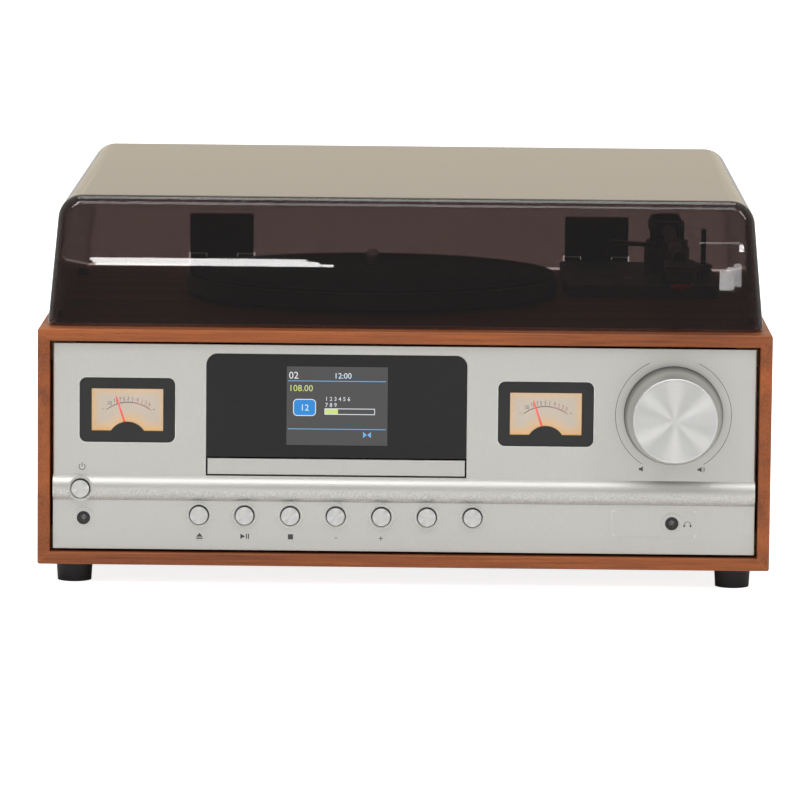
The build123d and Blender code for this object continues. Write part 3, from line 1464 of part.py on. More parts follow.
# ---------------------------------------------------------------- telescopic aerial
def make_aerial():
    """Aerial base on the back, the tube that tilts in it, and the rod inside the tube."""
    axis_y = rear_face + aerial_axis_gap
    z = aerial_height
    collar_back = rear_face + guide_gap + aerial_base_length
    base = rod_y(aerial_x, (rear_inside - aerial_base_length, rear_face + guide_gap), z, aerial_shank_radius)
    base += rod_y(aerial_x, (rear_inside - aerial_base_length, rear_inside - guide_gap), z,
                  aerial_nut_radius)
    base += rod_y(aerial_x, (rear_face + guide_gap, collar_back), z, aerial_base_radius)
    half_eye = aerial_eye_thickness / 2
    near, far = half_eye + guide_gap, half_eye + guide_gap + aerial_ear_thickness
    for ear in ((z - far, z - near), (z + near, z + far)):
        base += upright(aerial_x, axis_y, ear, aerial_head_radius)
        base += slab(around(aerial_x, 2 * aerial_head_radius), (collar_back - overrun, axis_y), ear)
    base += upright(aerial_x, axis_y, around(z, 2 * far), aerial_pin_radius)

    tube_start = aerial_x - aerial_head_radius - guide_gap
    tube_end = tube_start - aerial_tube_length
    tube = rod_x((tube_end, tube_start), axis_y, z, aerial_tube_radius)
    tube += upright(aerial_x, axis_y, around(z, 2 * half_eye), aerial_head_radius - guide_gap)
    tube += slab((tube_start - overrun, aerial_x), around(axis_y, aerial_head_radius),
                 around(z, aerial_eye_thickness))
    tube -= upright(aerial_x, axis_y, around(z, 2 * far), aerial_pin_radius + running_fit)
    rod_end = tube_end + aerial_rod_length
    tube -= rod_x(past((tube_end, rod_end)), axis_y, z, aerial_rod_radius + running_fit)

    tip_start = tube_end - guide_gap
    rod = rod_x((tip_start, rod_end), axis_y, z, aerial_rod_radius)
    rod += rod_x((tip_start - aerial_tip_length, tip_start), axis_y, z, aerial_tip_radius)
    rod = fillet(rod.edges().sort_by(Axis.X)[0], aerial_tip_round)
    return {"aerial_base": base, "aerial_tube": tube, "aerial_rod": rod}


# ---------------------------------------------------------------- the whole object
def build_all():
    """Every piece by its name."""
    pieces = {}
    pieces.update(make_cabinet())
    pieces["corner_blocks"] = make_corner_blocks()
    pieces["feet"] = make_feet()
    pieces["case_screws"] = make_screws()
    pieces["rear_panel"] = make_rear_panel()
    pieces["rear_sockets"] = make_rear_sockets()
    pieces["fascia"] = make_fascia()
    pieces.update(make_display())
    pieces.update(make_meters())
    for side, x in meter_places.items():
        pieces["vu_needle_" + side] = make_needle(x)
    pieces.update(make_buttons())
    pieces["control_board"] = make_control_board()
    pieces["front_jacks"] = make_front_jacks()
    pieces.update(make_knob_group())
    pieces.update(make_tray())
    pieces["tray_gear"] = make_tray_gear()
    pieces["disc_chassis"] = make_chassis()
    pieces["disc_hub"] = make_disc_hub()
    pieces["laser_sled"] = make_sled()
    pieces.update(make_speakers())
    pieces["main_board"] = make_main_board()
    pieces.update(make_platter())
    pieces["platter_bearing"] = make_bearing()
    pieces.update(make_drive())
    pieces["tonearm_base"] = make_tonearm_base()
    pieces["speed_switch"] = make_speed_switch()
    pieces["tonearm_gimbal"] = make_gimbal()
    pieces.update(make_tonearm())
    pieces["arm_lifter"] = make_arm_lifter()
    pieces["cue_lever"] = make_cue_lever()
    pieces["dust_cover"] = make_cover()
    pieces.update(make_hinges())
    pieces.update(make_aerial())
    return pieces


os.makedirs("parts", exist_ok=True)
for node, shape in build_all().items():
    export_step(shape, "parts/" + node + ".step")
    print(node, "written")
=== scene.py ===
import logging
import math
from dataclasses import dataclass, field
from enum import Enum
from typing import Any, Callable, Iterable, Protocol, Sequence

import bmesh
import bpy
from mathutils import Matrix, Vector


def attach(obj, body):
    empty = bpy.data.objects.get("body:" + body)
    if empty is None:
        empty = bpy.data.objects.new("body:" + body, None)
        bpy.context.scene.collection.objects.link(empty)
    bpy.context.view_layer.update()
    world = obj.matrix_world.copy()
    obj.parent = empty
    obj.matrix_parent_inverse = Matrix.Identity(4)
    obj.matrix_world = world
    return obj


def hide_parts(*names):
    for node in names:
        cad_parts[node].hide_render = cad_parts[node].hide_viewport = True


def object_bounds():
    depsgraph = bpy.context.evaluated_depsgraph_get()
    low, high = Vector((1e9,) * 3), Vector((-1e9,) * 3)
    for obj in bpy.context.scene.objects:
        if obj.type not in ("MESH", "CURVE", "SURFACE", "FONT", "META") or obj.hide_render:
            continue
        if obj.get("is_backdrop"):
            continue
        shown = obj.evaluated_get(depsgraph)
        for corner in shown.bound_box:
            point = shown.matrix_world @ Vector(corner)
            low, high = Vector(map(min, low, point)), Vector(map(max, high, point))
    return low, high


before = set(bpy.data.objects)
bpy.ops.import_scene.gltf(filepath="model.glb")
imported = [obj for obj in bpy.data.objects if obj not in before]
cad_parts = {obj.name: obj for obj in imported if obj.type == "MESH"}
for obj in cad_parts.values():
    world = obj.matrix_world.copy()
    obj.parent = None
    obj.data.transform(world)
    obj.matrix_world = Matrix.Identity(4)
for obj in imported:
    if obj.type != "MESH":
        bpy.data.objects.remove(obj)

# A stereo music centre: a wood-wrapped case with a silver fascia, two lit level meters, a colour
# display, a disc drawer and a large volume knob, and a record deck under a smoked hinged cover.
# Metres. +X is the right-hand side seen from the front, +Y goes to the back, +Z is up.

LOG = logging.getLogger("music_centre")
MM = 0.001
Colour = tuple[float, float, float, float]
Point = tuple[float, float]
Place = tuple[float, float, float]
WHITE: Colour = (1.0, 1.0, 1.0, 1.0)
CAPITAL_SHARE = 0.7  # height of a capital letter, as a share of the font's size
MERGE = 1e-7  # vertices nearer than this are one
SEED = 7  # of anything random


# ---------------------------------------------------------------- named options
class Run(Enum):
    """The way that the wood's grain runs, as the turn that lays it along X."""

    ALONG_X = (0.0, 0.0, 0.0)
    ALONG_Y = (0.0, 0.0, math.radians(90))
    ALONG_Z = (0.0, math.radians(90), 0.0)


class Glyph(Enum):
    """The plain control signs that are printed on the fascia."""

    EJECT = "eject"
    PLAY_PAUSE = "play_pause"
    STOP = "stop"
    MINUS = "minus"
    PLUS = "plus"
    POWER = "power"
    QUIET = "quiet"
    LOUD = "loud"
    HEADPHONES = "headphones"


class Axis(Enum):
    """The axis that a turned piece is spun about."""

    ALONG_Y = (0.0, 1.0, 0.0)
    ALONG_Z = (0.0, 0.0, 1.0)


class Align(Enum):
    """Which end of a row of figures its place is at."""

    LEFT = "LEFT"
    MIDDLE = "CENTER"


class Form(Enum):
    """The small shapes that are repeated."""

    BAR = "bar"
    RING = "ring"


class Finish(Protocol):
    """Anything that can build its material."""

    def material(self) -> bpy.types.Material:
        """Builds the material."""


# ---------------------------------------------------------------- small tools
def tone(red: float, green: float, blue: float) -> Colour:
    """A colour given as 0 to 255 screen values, turned to linear light.

    Args:
        red: red value.
        green: green value.
        blue: blue value.

    Returns:
        The colour with an alpha of 1.
    """

    def linear(value: float) -> float:
        """One channel in linear light."""
        part = value / 255.0
        return part / 12.92 if part <= 0.04045 else ((part + 0.055) / 1.055) ** 2.4

    return (linear(red), linear(green), linear(blue), 1.0)


def shaded(colour: Colour, factor: float, lift: float = 0.0) -> Colour:
    """A darker or lighter version of a colour.

    Args:
        colour: the colour.
        factor: what each channel is multiplied by.
        lift: what is then added to it.

    Returns:
        The colour, held at full brightness, with an alpha of 1.
    """
    red, green, blue = (min(1.0, factor * part + lift) for part in colour[:3])
    return (red, green, blue, 1.0)


def put(tree: bpy.types.NodeTree, kind: str, inputs: dict[Any, Any] | None = None, **settings: Any) -> Any:
    """Adds a node, sets its options, and fills or links its inputs.

    Args:
        tree: the tree that gets the node.
        kind: the node's type name.
        inputs: input name or number, and a value or an output socket.
        **settings: options of the node.

    Returns:
        The new node.
    """
    node = tree.nodes.new(kind)
    for name, value in settings.items():
        setattr(node, name, value)
    for key, value in (inputs or {}).items():
        if isinstance(value, bpy.types.NodeSocket):
            tree.links.new(value, node.inputs[key])
        else:
            node.inputs[key].default_value = value
    return node


def math_node(tree: bpy.types.NodeTree, operation: str, *values: Any, clamp: bool = False) -> Any:
    """A Math node's output.

    Args:
        tree: the tree that gets the node.
        operation: what it works out.
        *values: its inputs in order.
        clamp: keeps the result from 0 to 1.

    Returns:
        The output socket.
    """
    node = put(tree, "ShaderNodeMath", dict(enumerate(values)), operation=operation, use_clamp=clamp)
    return node.outputs[0]


def vector_node(tree: bpy.types.NodeTree, operation: str, *values: Any) -> Any:
    """A Vector Math node, with its inputs given in order.

    Args:
        tree: the tree that gets the node.
        operation: what it works out.
        *values: its inputs in order.

    Returns:
        The node.
    """
    return put(tree, "ShaderNodeVectorMath", dict(enumerate(values)), operation=operation)


def ramp(tree: bpy.types.NodeTree, value: Any, low: float, high: float, start: float = 0.0, stop: float = 1.0) -> Any:
    """A Map Range node's output, held at both ends.

    Args:
        tree: the tree that gets the node.
        value: the socket that is read.
        low: the value that gives start.
        high: the value that gives stop.
        start: result at low.
        stop: result at high.

    Returns:
        The output socket.
    """
    limits = {0: value, 1: low, 2: high, 3: start, 4: stop}
    return put(tree, "ShaderNodeMapRange", limits).outputs[0]


def blend_colours(tree: bpy.types.NodeTree, share: Any, first: Any, second: Any) -> Any:
    """A colour between two others.

    Args:
        tree: the tree that gets the node.
        share: how much of the second.
        first: colour or socket.
        second: colour or socket.

    Returns:
        The output socket.
    """
    node = put(tree, "ShaderNodeMix", {0: share, 6: first, 7: second}, data_type="RGBA")
    return node.outputs[2]


def link_object(name: str, mesh: bpy.types.Mesh) -> bpy.types.Object:
    """Puts a mesh in the scene as a piece.

    Args:
        name: the piece's name.
        mesh: its mesh, with its place in its vertices.

    Returns:
        The new object, at the origin.
    """
    piece = bpy.data.objects.new(name, mesh)
    bpy.context.scene.collection.objects.link(piece)
    return piece


def smooth_by_angle(mesh: bpy.types.Mesh, angle: float = 0.6) -> None:
    """Shades a mesh smooth except at edges sharper than the angle.

    Args:
        mesh: the mesh.
        angle: the limit, in radians.
    """
    work = bmesh.new()
    work.from_mesh(mesh)
    for face in work.faces:
        face.smooth = True
    for edge in work.edges:
        edge.smooth = len(edge.link_faces) == 2 and edge.calc_face_angle(0.0) < angle
    work.to_mesh(mesh)
    work.free()


def turned_mesh(name: str, profile: Sequence[Point], centre: Vector, axis: Axis, steps: int = 96) -> bpy.types.Mesh:
    """A solid turned from a closed profile.

    Args:
        name: the mesh's name.
        profile: (radius, place along the axis) points, one after the other round the section.
        centre: the point on the axis that the places are counted from.
        axis: the axis.
        steps: how many sides.

    Returns:
        The mesh, closed, with its faces outwards.
    """
    along = Vector(axis.value)
    across = Vector((1.0, 0.0, 0.0))
    third = along.cross(across)
    work = bmesh.new()
    rings = []
    for radius, place in profile:
        ring = []
        for step in range(steps):
            turn = 2 * math.pi * step / steps
            spoke = across * math.cos(turn) + third * math.sin(turn)
            ring.append(work.verts.new(centre + along * place + spoke * radius))
        rings.append(ring)
    for number, ring in enumerate(rings):
        following = rings[(number + 1) % len(rings)]
        for step in range(steps):
            after = (step + 1) % steps
            work.faces.new((ring[step], ring[after], following[after], following[step]))
    bmesh.ops.remove_doubles(work, verts=work.verts, dist=MERGE)
    bmesh.ops.dissolve_degenerate(work, edges=work.edges, dist=MERGE)
    bmesh.ops.recalc_face_normals(work, faces=work.faces)
    mesh = bpy.data.meshes.new(name)
    work.to_mesh(mesh)
    work.free()
    smooth_by_angle(mesh)
    return mesh


def settle(piece: bpy.types.Object) -> None:
    """Turns a piece's modifiers into a plain mesh of its own.

    Args:
        piece: an object with live modifiers.
    """
    graph = bpy.context.evaluated_depsgraph_get()
    mesh = bpy.data.meshes.new_from_object(piece.evaluated_get(graph))
    piece.modifiers.clear()
    piece.data = mesh


@dataclass(frozen=True)
class Spot:
    """Where one copy stands, how it is turned and how large it is."""

    place: Place
    turn: Place
    size: Place


class Growth:
    """Geometry node trees that repeat a shape or lay one out by rule."""

    built: dict[str, bpy.types.NodeTree] = {}

    @classmethod
    def start(cls, name: str, inputs: Sequence[tuple[str, str, Any]]) -> Any:
        """Opens a tree with named inputs and a geometry output.

        Args:
            name: the tree's name.
            inputs: (name, socket type, default or None).

        Returns:
            The tree and its input node.
        """
        tree = bpy.data.node_groups.new(name, "GeometryNodeTree")
        tree.interface.new_socket(name="Geometry", in_out="INPUT", socket_type="NodeSocketGeometry")
        for label, kind, value in inputs:
            socket = tree.interface.new_socket(name=label, in_out="INPUT", socket_type=kind)
            if value is not None:
                socket.default_value = value
        tree.interface.new_socket(name="Geometry", in_out="OUTPUT", socket_type="NodeSocketGeometry")
        cls.built[name] = tree
        return tree, put(tree, "NodeGroupInput")

    @classmethod
    def finish(cls, tree: bpy.types.NodeTree, shape: Any, enter: Any) -> None:
        """Ends a tree with real geometry and its material.

        Args:
            tree: the tree.
            shape: the geometry so far.
            enter: the tree's input node.
        """
        real = put(tree, "GeometryNodeRealizeInstances", {"Geometry": shape}).outputs[0]
        dressed = put(tree, "GeometryNodeSetMaterial", {"Geometry": real, "Material": enter.outputs["Finish"]})
        put(tree, "NodeGroupOutput", {"Geometry": dressed.outputs[0]})

    @classmethod
    def repeats(cls, form: Form) -> bpy.types.NodeTree:
        """A tree that sets a small shape on every point of a mesh.

        Args:
            form: the shape.

        Returns:
            The tree.
        """
        name = f"repeat_{form.value}"
        if name in cls.built:
            return cls.built[name]
        tree, enter = cls.start(name, [("Finish", "NodeSocketMaterial", None), ("Variation", "NodeSocketFloat", 0.0),
                                       ("Seed", "NodeSocketInt", SEED)])
        if form is Form.BAR:
            shape = put(tree, "GeometryNodeMeshCube", {"Size": (1.0, 1.0, 1.0)}).outputs[0]
        else:
            circle = put(tree, "GeometryNodeCurvePrimitiveCircle", {"Resolution": 64, "Radius": 1.0}).outputs[0]
            section = put(tree, "GeometryNodeCurvePrimitiveQuadrilateral", {"Width": 0.075, "Height": 1.0}).outputs[0]
            shape = put(tree, "GeometryNodeCurveToMesh", {"Curve": circle, "Profile Curve": section}).outputs[0]
        turn = put(tree, "GeometryNodeInputNamedAttribute", {"Name": "turn"}, data_type="FLOAT_VECTOR").outputs[0]
        size = put(tree, "GeometryNodeInputNamedAttribute", {"Name": "size"}, data_type="FLOAT_VECTOR").outputs[0]
        spread = put(tree, "FunctionNodeRandomValue", {2: -1.0, 3: 1.0, "Seed": enter.outputs["Seed"]},
                     data_type="FLOAT")
        change = math_node(tree, "MULTIPLY_ADD", spread.outputs[1], enter.outputs["Variation"], 1.0)
        varied = vector_node(tree, "SCALE", size)
        tree.links.new(change, varied.inputs["Scale"])
        rotation = put(tree, "FunctionNodeEulerToRotation", {"Euler": turn}).outputs[0]
        copies = put(tree, "GeometryNodeInstanceOnPoints",
                     {"Points": enter.outputs["Geometry"], "Instance": shape, "Rotation": rotation,
                      "Scale": varied.outputs[0]})
        cls.finish(tree, copies.outputs[0], enter)
        return tree

    @classmethod
    def grooved_disc(cls) -> bpy.types.NodeTree:
        """A tree that lays a grid out as a closed disc with ring grooves in its top.

        Returns:
            The tree.
        """
        name = "grooved_disc"
        if name in cls.built:
            return cls.built[name]
        tree, enter = cls.start(name, [
            ("Finish", "NodeSocketMaterial", None), ("Radius", "NodeSocketFloat", 0.1),
            ("Hole", "NodeSocketFloat", 0.004), ("Bottom", "NodeSocketFloat", 0.0),
            ("Top", "NodeSocketFloat", 0.002), ("Pitch", "NodeSocketFloat", 0.0025),
            ("Depth", "NodeSocketFloat", 0.4 * MM), ("Rows", "NodeSocketInt", 200),
            ("Sides", "NodeSocketInt", 129), ("Centre", "NodeSocketVector", None)])
        take = enter.outputs
        grid = put(tree, "GeometryNodeMeshGrid", {"Size X": 1.0, "Size Y": 1.0, "Vertices X": take["Rows"],
                                                  "Vertices Y": take["Sides"]}).outputs[0]
        index = put(tree, "GeometryNodeInputIndex").outputs[0]
        row = math_node(tree, "FLOOR", math_node(tree, "DIVIDE", math_node(tree, "ADD", index, 0.5), take["Sides"]))
        column = math_node(tree, "SUBTRACT", index, math_node(tree, "MULTIPLY", row, take["Sides"]))
        whole_turn = math_node(tree, "DIVIDE", column, math_node(tree, "SUBTRACT", take["Sides"], 1.0))
        angle = math_node(tree, "MULTIPLY", whole_turn, 2 * math.pi)
        last = math_node(tree, "SUBTRACT", take["Rows"], 1.0)
        span = math_node(tree, "SUBTRACT", take["Rows"], 4.0)
        share = math_node(tree, "DIVIDE", math_node(tree, "SUBTRACT", row, 1.0), span, clamp=True)
        reach = ramp(tree, share, 0.0, 1.0, take["Hole"], take["Radius"])
        closing = math_node(tree, "GREATER_THAN", row, math_node(tree, "SUBTRACT", last, 0.5))
        radius = math_node(tree, "ADD", math_node(tree, "MULTIPLY", reach, math_node(tree, "SUBTRACT", 1.0, closing)),
                           math_node(tree, "MULTIPLY", take["Hole"], closing))
        phase = math_node(tree, "MULTIPLY", math_node(tree, "DIVIDE", reach, take["Pitch"]), 2 * math.pi)
        wave = math_node(tree, "COSINE", phase)
        cut = math_node(tree, "MULTIPLY", math_node(tree, "MULTIPLY_ADD", wave, 0.5, 0.5), take["Depth"])
        inward = math_node(tree, "GREATER_THAN", reach, math_node(tree, "MULTIPLY", take["Radius"], 0.30))
        outward = math_node(tree, "LESS_THAN", reach, math_node(tree, "MULTIPLY", take["Radius"], 0.97))
        cut = math_node(tree, "MULTIPLY", cut, math_node(tree, "MULTIPLY", inward, outward))
        upper = math_node(tree, "SUBTRACT", take["Top"], cut)
        started = math_node(tree, "GREATER_THAN", row, 0.5)
        before_end = math_node(tree, "LESS_THAN", row, math_node(tree, "SUBTRACT", last, 1.5))
        raised = math_node(tree, "MULTIPLY", started, before_end)
        height = ramp(tree, raised, 0.0, 1.0, take["Bottom"], upper)
        place = put(tree, "ShaderNodeCombineXYZ", {
            "X": math_node(tree, "MULTIPLY", radius, math_node(tree, "COSINE", angle)),
            "Y": math_node(tree, "MULTIPLY", radius, math_node(tree, "SINE", angle)), "Z": height}).outputs[0]
        moved = vector_node(tree, "ADD", place, take["Centre"]).outputs[0]
        laid = put(tree, "GeometryNodeSetPosition", {"Geometry": grid, "Position": moved}).outputs[0]
        closed = put(tree, "GeometryNodeMergeByDistance", {"Geometry": laid, "Distance": 1e-6}).outputs[0]
        cls.finish(tree, closed, enter)
        return tree


def grown(name: str, tree: bpy.types.NodeTree, mesh: bpy.types.Mesh, **inputs: Any) -> bpy.types.Object:
    """A piece made by a geometry node tree, as a plain mesh.

    Args:
        name: the piece's name.
        tree: the tree.
        mesh: what the tree starts from.
        **inputs: values for its named inputs.

    Returns:
        The piece.
    """
    piece = link_object(name, mesh)
    modifier = piece.modifiers.new("growth", "NODES")
    modifier.node_group = tree
    for item in tree.interface.items_tree:
        if item.item_type == "SOCKET" and item.in_out == "INPUT" and item.name in inputs:
            modifier[item.identifier] = inputs[item.name]
    settle(piece)
    work = bmesh.new()
    work.from_mesh(piece.data)
    bmesh.ops.recalc_face_normals(work, faces=work.faces)
    work.to_mesh(piece.data)
    work.free()
    smooth_by_angle(piece.data)
    return piece


def repeated(name: str, form: Form, spots: Sequence[Spot], finish: Finish, variation: float = 0.0) -> bpy.types.Object:
    """A small shape set at many places, as one piece.

    Args:
        name: the piece's name.
        form: the shape.
        spots: one for each copy.
        finish: its finish.
        variation: random change of size, as a share.

    Returns:
        The piece.
    """
    mesh = bpy.data.meshes.new(name)
    mesh.from_pydata([spot.place for spot in spots], [], [])
    for label in ("turn", "size"):
        store = mesh.attributes.new(label, "FLOAT_VECTOR", "POINT")
        for number, spot in enumerate(spots):
            store.data[number].vector = getattr(spot, label)
    return grown(name, Growth.repeats(form), mesh, Finish=finish.material(), Variation=variation, Seed=SEED)


class Sheet:
    """Flat shapes of a thin print or plate that faces the front, gathered into one mesh."""

    def __init__(self, face: float, thickness: float) -> None:
        """Starts an empty sheet.

        Args:
            face: place of its front face along Y.
            thickness: how deep it is.
        """
        self.face = face
        self.thickness = thickness
        self.work = bmesh.new()

    def outline(self, points: Iterable[Point]) -> None:
        """Adds a closed shape.

        Args:
            points: its corners in (x, z), anticlockwise seen from the front.
        """
        corners = list(points)
        front = [self.work.verts.new((x, self.face, z)) for x, z in corners]
        rear = [self.work.verts.new((x, self.face + self.thickness, z)) for x, z in corners]
        self.work.faces.new(front)
        self.work.faces.new(list(reversed(rear)))
        for number in range(len(corners)):
            after = (number + 1) % len(corners)
            self.work.faces.new((front[after], front[number], rear[number], rear[after]))

    def band(self, outer: Sequence[Point], inner: Sequence[Point], closed: bool) -> None:
        """Adds a strip between two rows of points, as one shell with no walls inside.

        Args:
            outer: one edge of it in (x, z).
            inner: the other edge, with as many points.
            closed: its end meets its start.
        """
        rows = [[self.work.verts.new((x, y, z)) for x, z in edge]
                for edge, y in ((outer, self.face), (inner, self.face), (inner, self.face + self.thickness),
                                (outer, self.face + self.thickness))]
        count = len(outer)
        for number in range(count if closed else count - 1):
            after = (number + 1) % count
            for first, second in zip(rows, rows[1:] + rows[:1]):
                self.work.faces.new((first[number], first[after], second[after], second[number]))
        if not closed:
            for end in (0, count - 1):
                self.work.faces.new([row[end] for row in rows])

    def box(self, x: Point, z: Point) -> None:
        """Adds a rectangle between two x places and two z places."""
        self.outline([(x[0], z[0]), (x[1], z[0]), (x[1], z[1]), (x[0], z[1])])

    def plus(self, centre: Point, reach: float, width: float) -> None:
        """Adds a plus sign in one piece.

        Args:
            centre: its middle in (x, z).
            reach: from the middle to each end.
            width: of its bars.
        """
        half = width / 2
        quarter = [(half, -half), (reach, -half), (reach, half)]
        corners = []
        for _ in range(4):
            corners.extend((centre[0] + x, centre[1] + z) for x, z in quarter)
            quarter = [(-z, x) for x, z in quarter]
        self.outline(corners)

    def arc(self, centre: Point, radius: float, width: float, start: float, stop: float, steps: int = 48) -> None:
        """Adds a band along part of a circle.

        Args:
            centre: its centre in (x, z).
            radius: to the middle of the band.
            width: of the band.
            start: first angle in degrees, clockwise from upright.
            stop: last angle.
            steps: how many runs.
        """
        closed = abs(stop - start) >= 360
        turns = [math.radians(start + (stop - start) * step / steps) for step in range(steps if closed else steps + 1)]
        outer, inner = ([(centre[0] + length * math.sin(turn), centre[1] + length * math.cos(turn)) for turn in turns]
                        for length in (radius + width / 2, radius - width / 2))
        self.band(outer, inner, closed)

    def frame_line(self, x: Point, z: Point, radius: float, width: float) -> None:
        """Adds an outline with round corners.

        Args:
            x: left and right of its outer edge.
            z: bottom and top of its outer edge.
            radius: of its corners, outside.
            width: of the line.
        """
        outer = rounded(x, z, radius)
        inner = rounded((x[0] + width, x[1] - width), (z[0] + width, z[1] - width), max(radius - width, width / 4))
        self.band(outer, inner, closed=True)

    def mesh(self, name: str) -> bpy.types.Mesh:
        """Closes the sheet.

        Args:
            name: the mesh's name.

        Returns:
            The finished mesh.
        """
        bmesh.ops.recalc_face_normals(self.work, faces=self.work.faces)
        mesh = bpy.data.meshes.new(name)
        self.work.to_mesh(mesh)
        self.work.free()
        return mesh


def rounded(x: Point, z: Point, radius: float, steps: int = 8) -> list[Point]:
    """Corners of a rectangle with round corners.

    Args:
        x: left and right.
        z: bottom and top.
        radius: of the corners.
        steps: runs in each corner.

    Returns:
        The points, anticlockwise seen from the front.
    """
    points = []
    centres = ((x[1] - radius, z[1] - radius), (x[0] + radius, z[1] - radius),
               (x[0] + radius, z[0] + radius), (x[1] - radius, z[0] + radius))
    for number, (middle_x, middle_z) in enumerate(centres):
        for step in range(steps + 1):
            turn = math.radians(90 * number + 90 * step / steps)
            points.append((middle_x + radius * math.cos(turn), middle_z + radius * math.sin(turn)))
    return points


def lettering(text: str, centre: Point, face: float, height: float, align: Align = Align.MIDDLE) -> bpy.types.Mesh:
    """Plain figures as a thin mesh that faces the front.

    Args:
        text: what it reads.
        centre: its place in (x, z), at the middle of its height.
        face: place of its front along Y.
        height: of a capital letter.
        align: which end the place is at.

    Returns:
        The mesh.
    """
    curve = bpy.data.curves.new("figures", "FONT")
    curve.body = text
    curve.size = height / CAPITAL_SHARE
    curve.extrude = 0.02 * MM
    curve.align_x = align.value
    curve.resolution_u = 3
    holder = bpy.data.objects.new("figures", curve)
    mesh = bpy.data.meshes.new_from_object(holder)
    bpy.data.objects.remove(holder)
    turn = Matrix.Translation((centre[0], face, centre[1] - height / 2)) @ Matrix.Rotation(math.radians(90), 4, "X")
    mesh.transform(turn)
    return mesh


def joined(name: str, meshes: Iterable[bpy.types.Mesh]) -> bpy.types.Mesh:
    """Several meshes as one.

    Args:
        name: the new mesh's name.
        meshes: what goes in.

    Returns:
        The new mesh.
    """
    work = bmesh.new()
    for mesh in meshes:
        work.from_mesh(mesh)
    bmesh.ops.remove_doubles(work, verts=work.verts, dist=MERGE / 10)
    result = bpy.data.meshes.new(name)
    work.to_mesh(result)
    work.free()
    return result


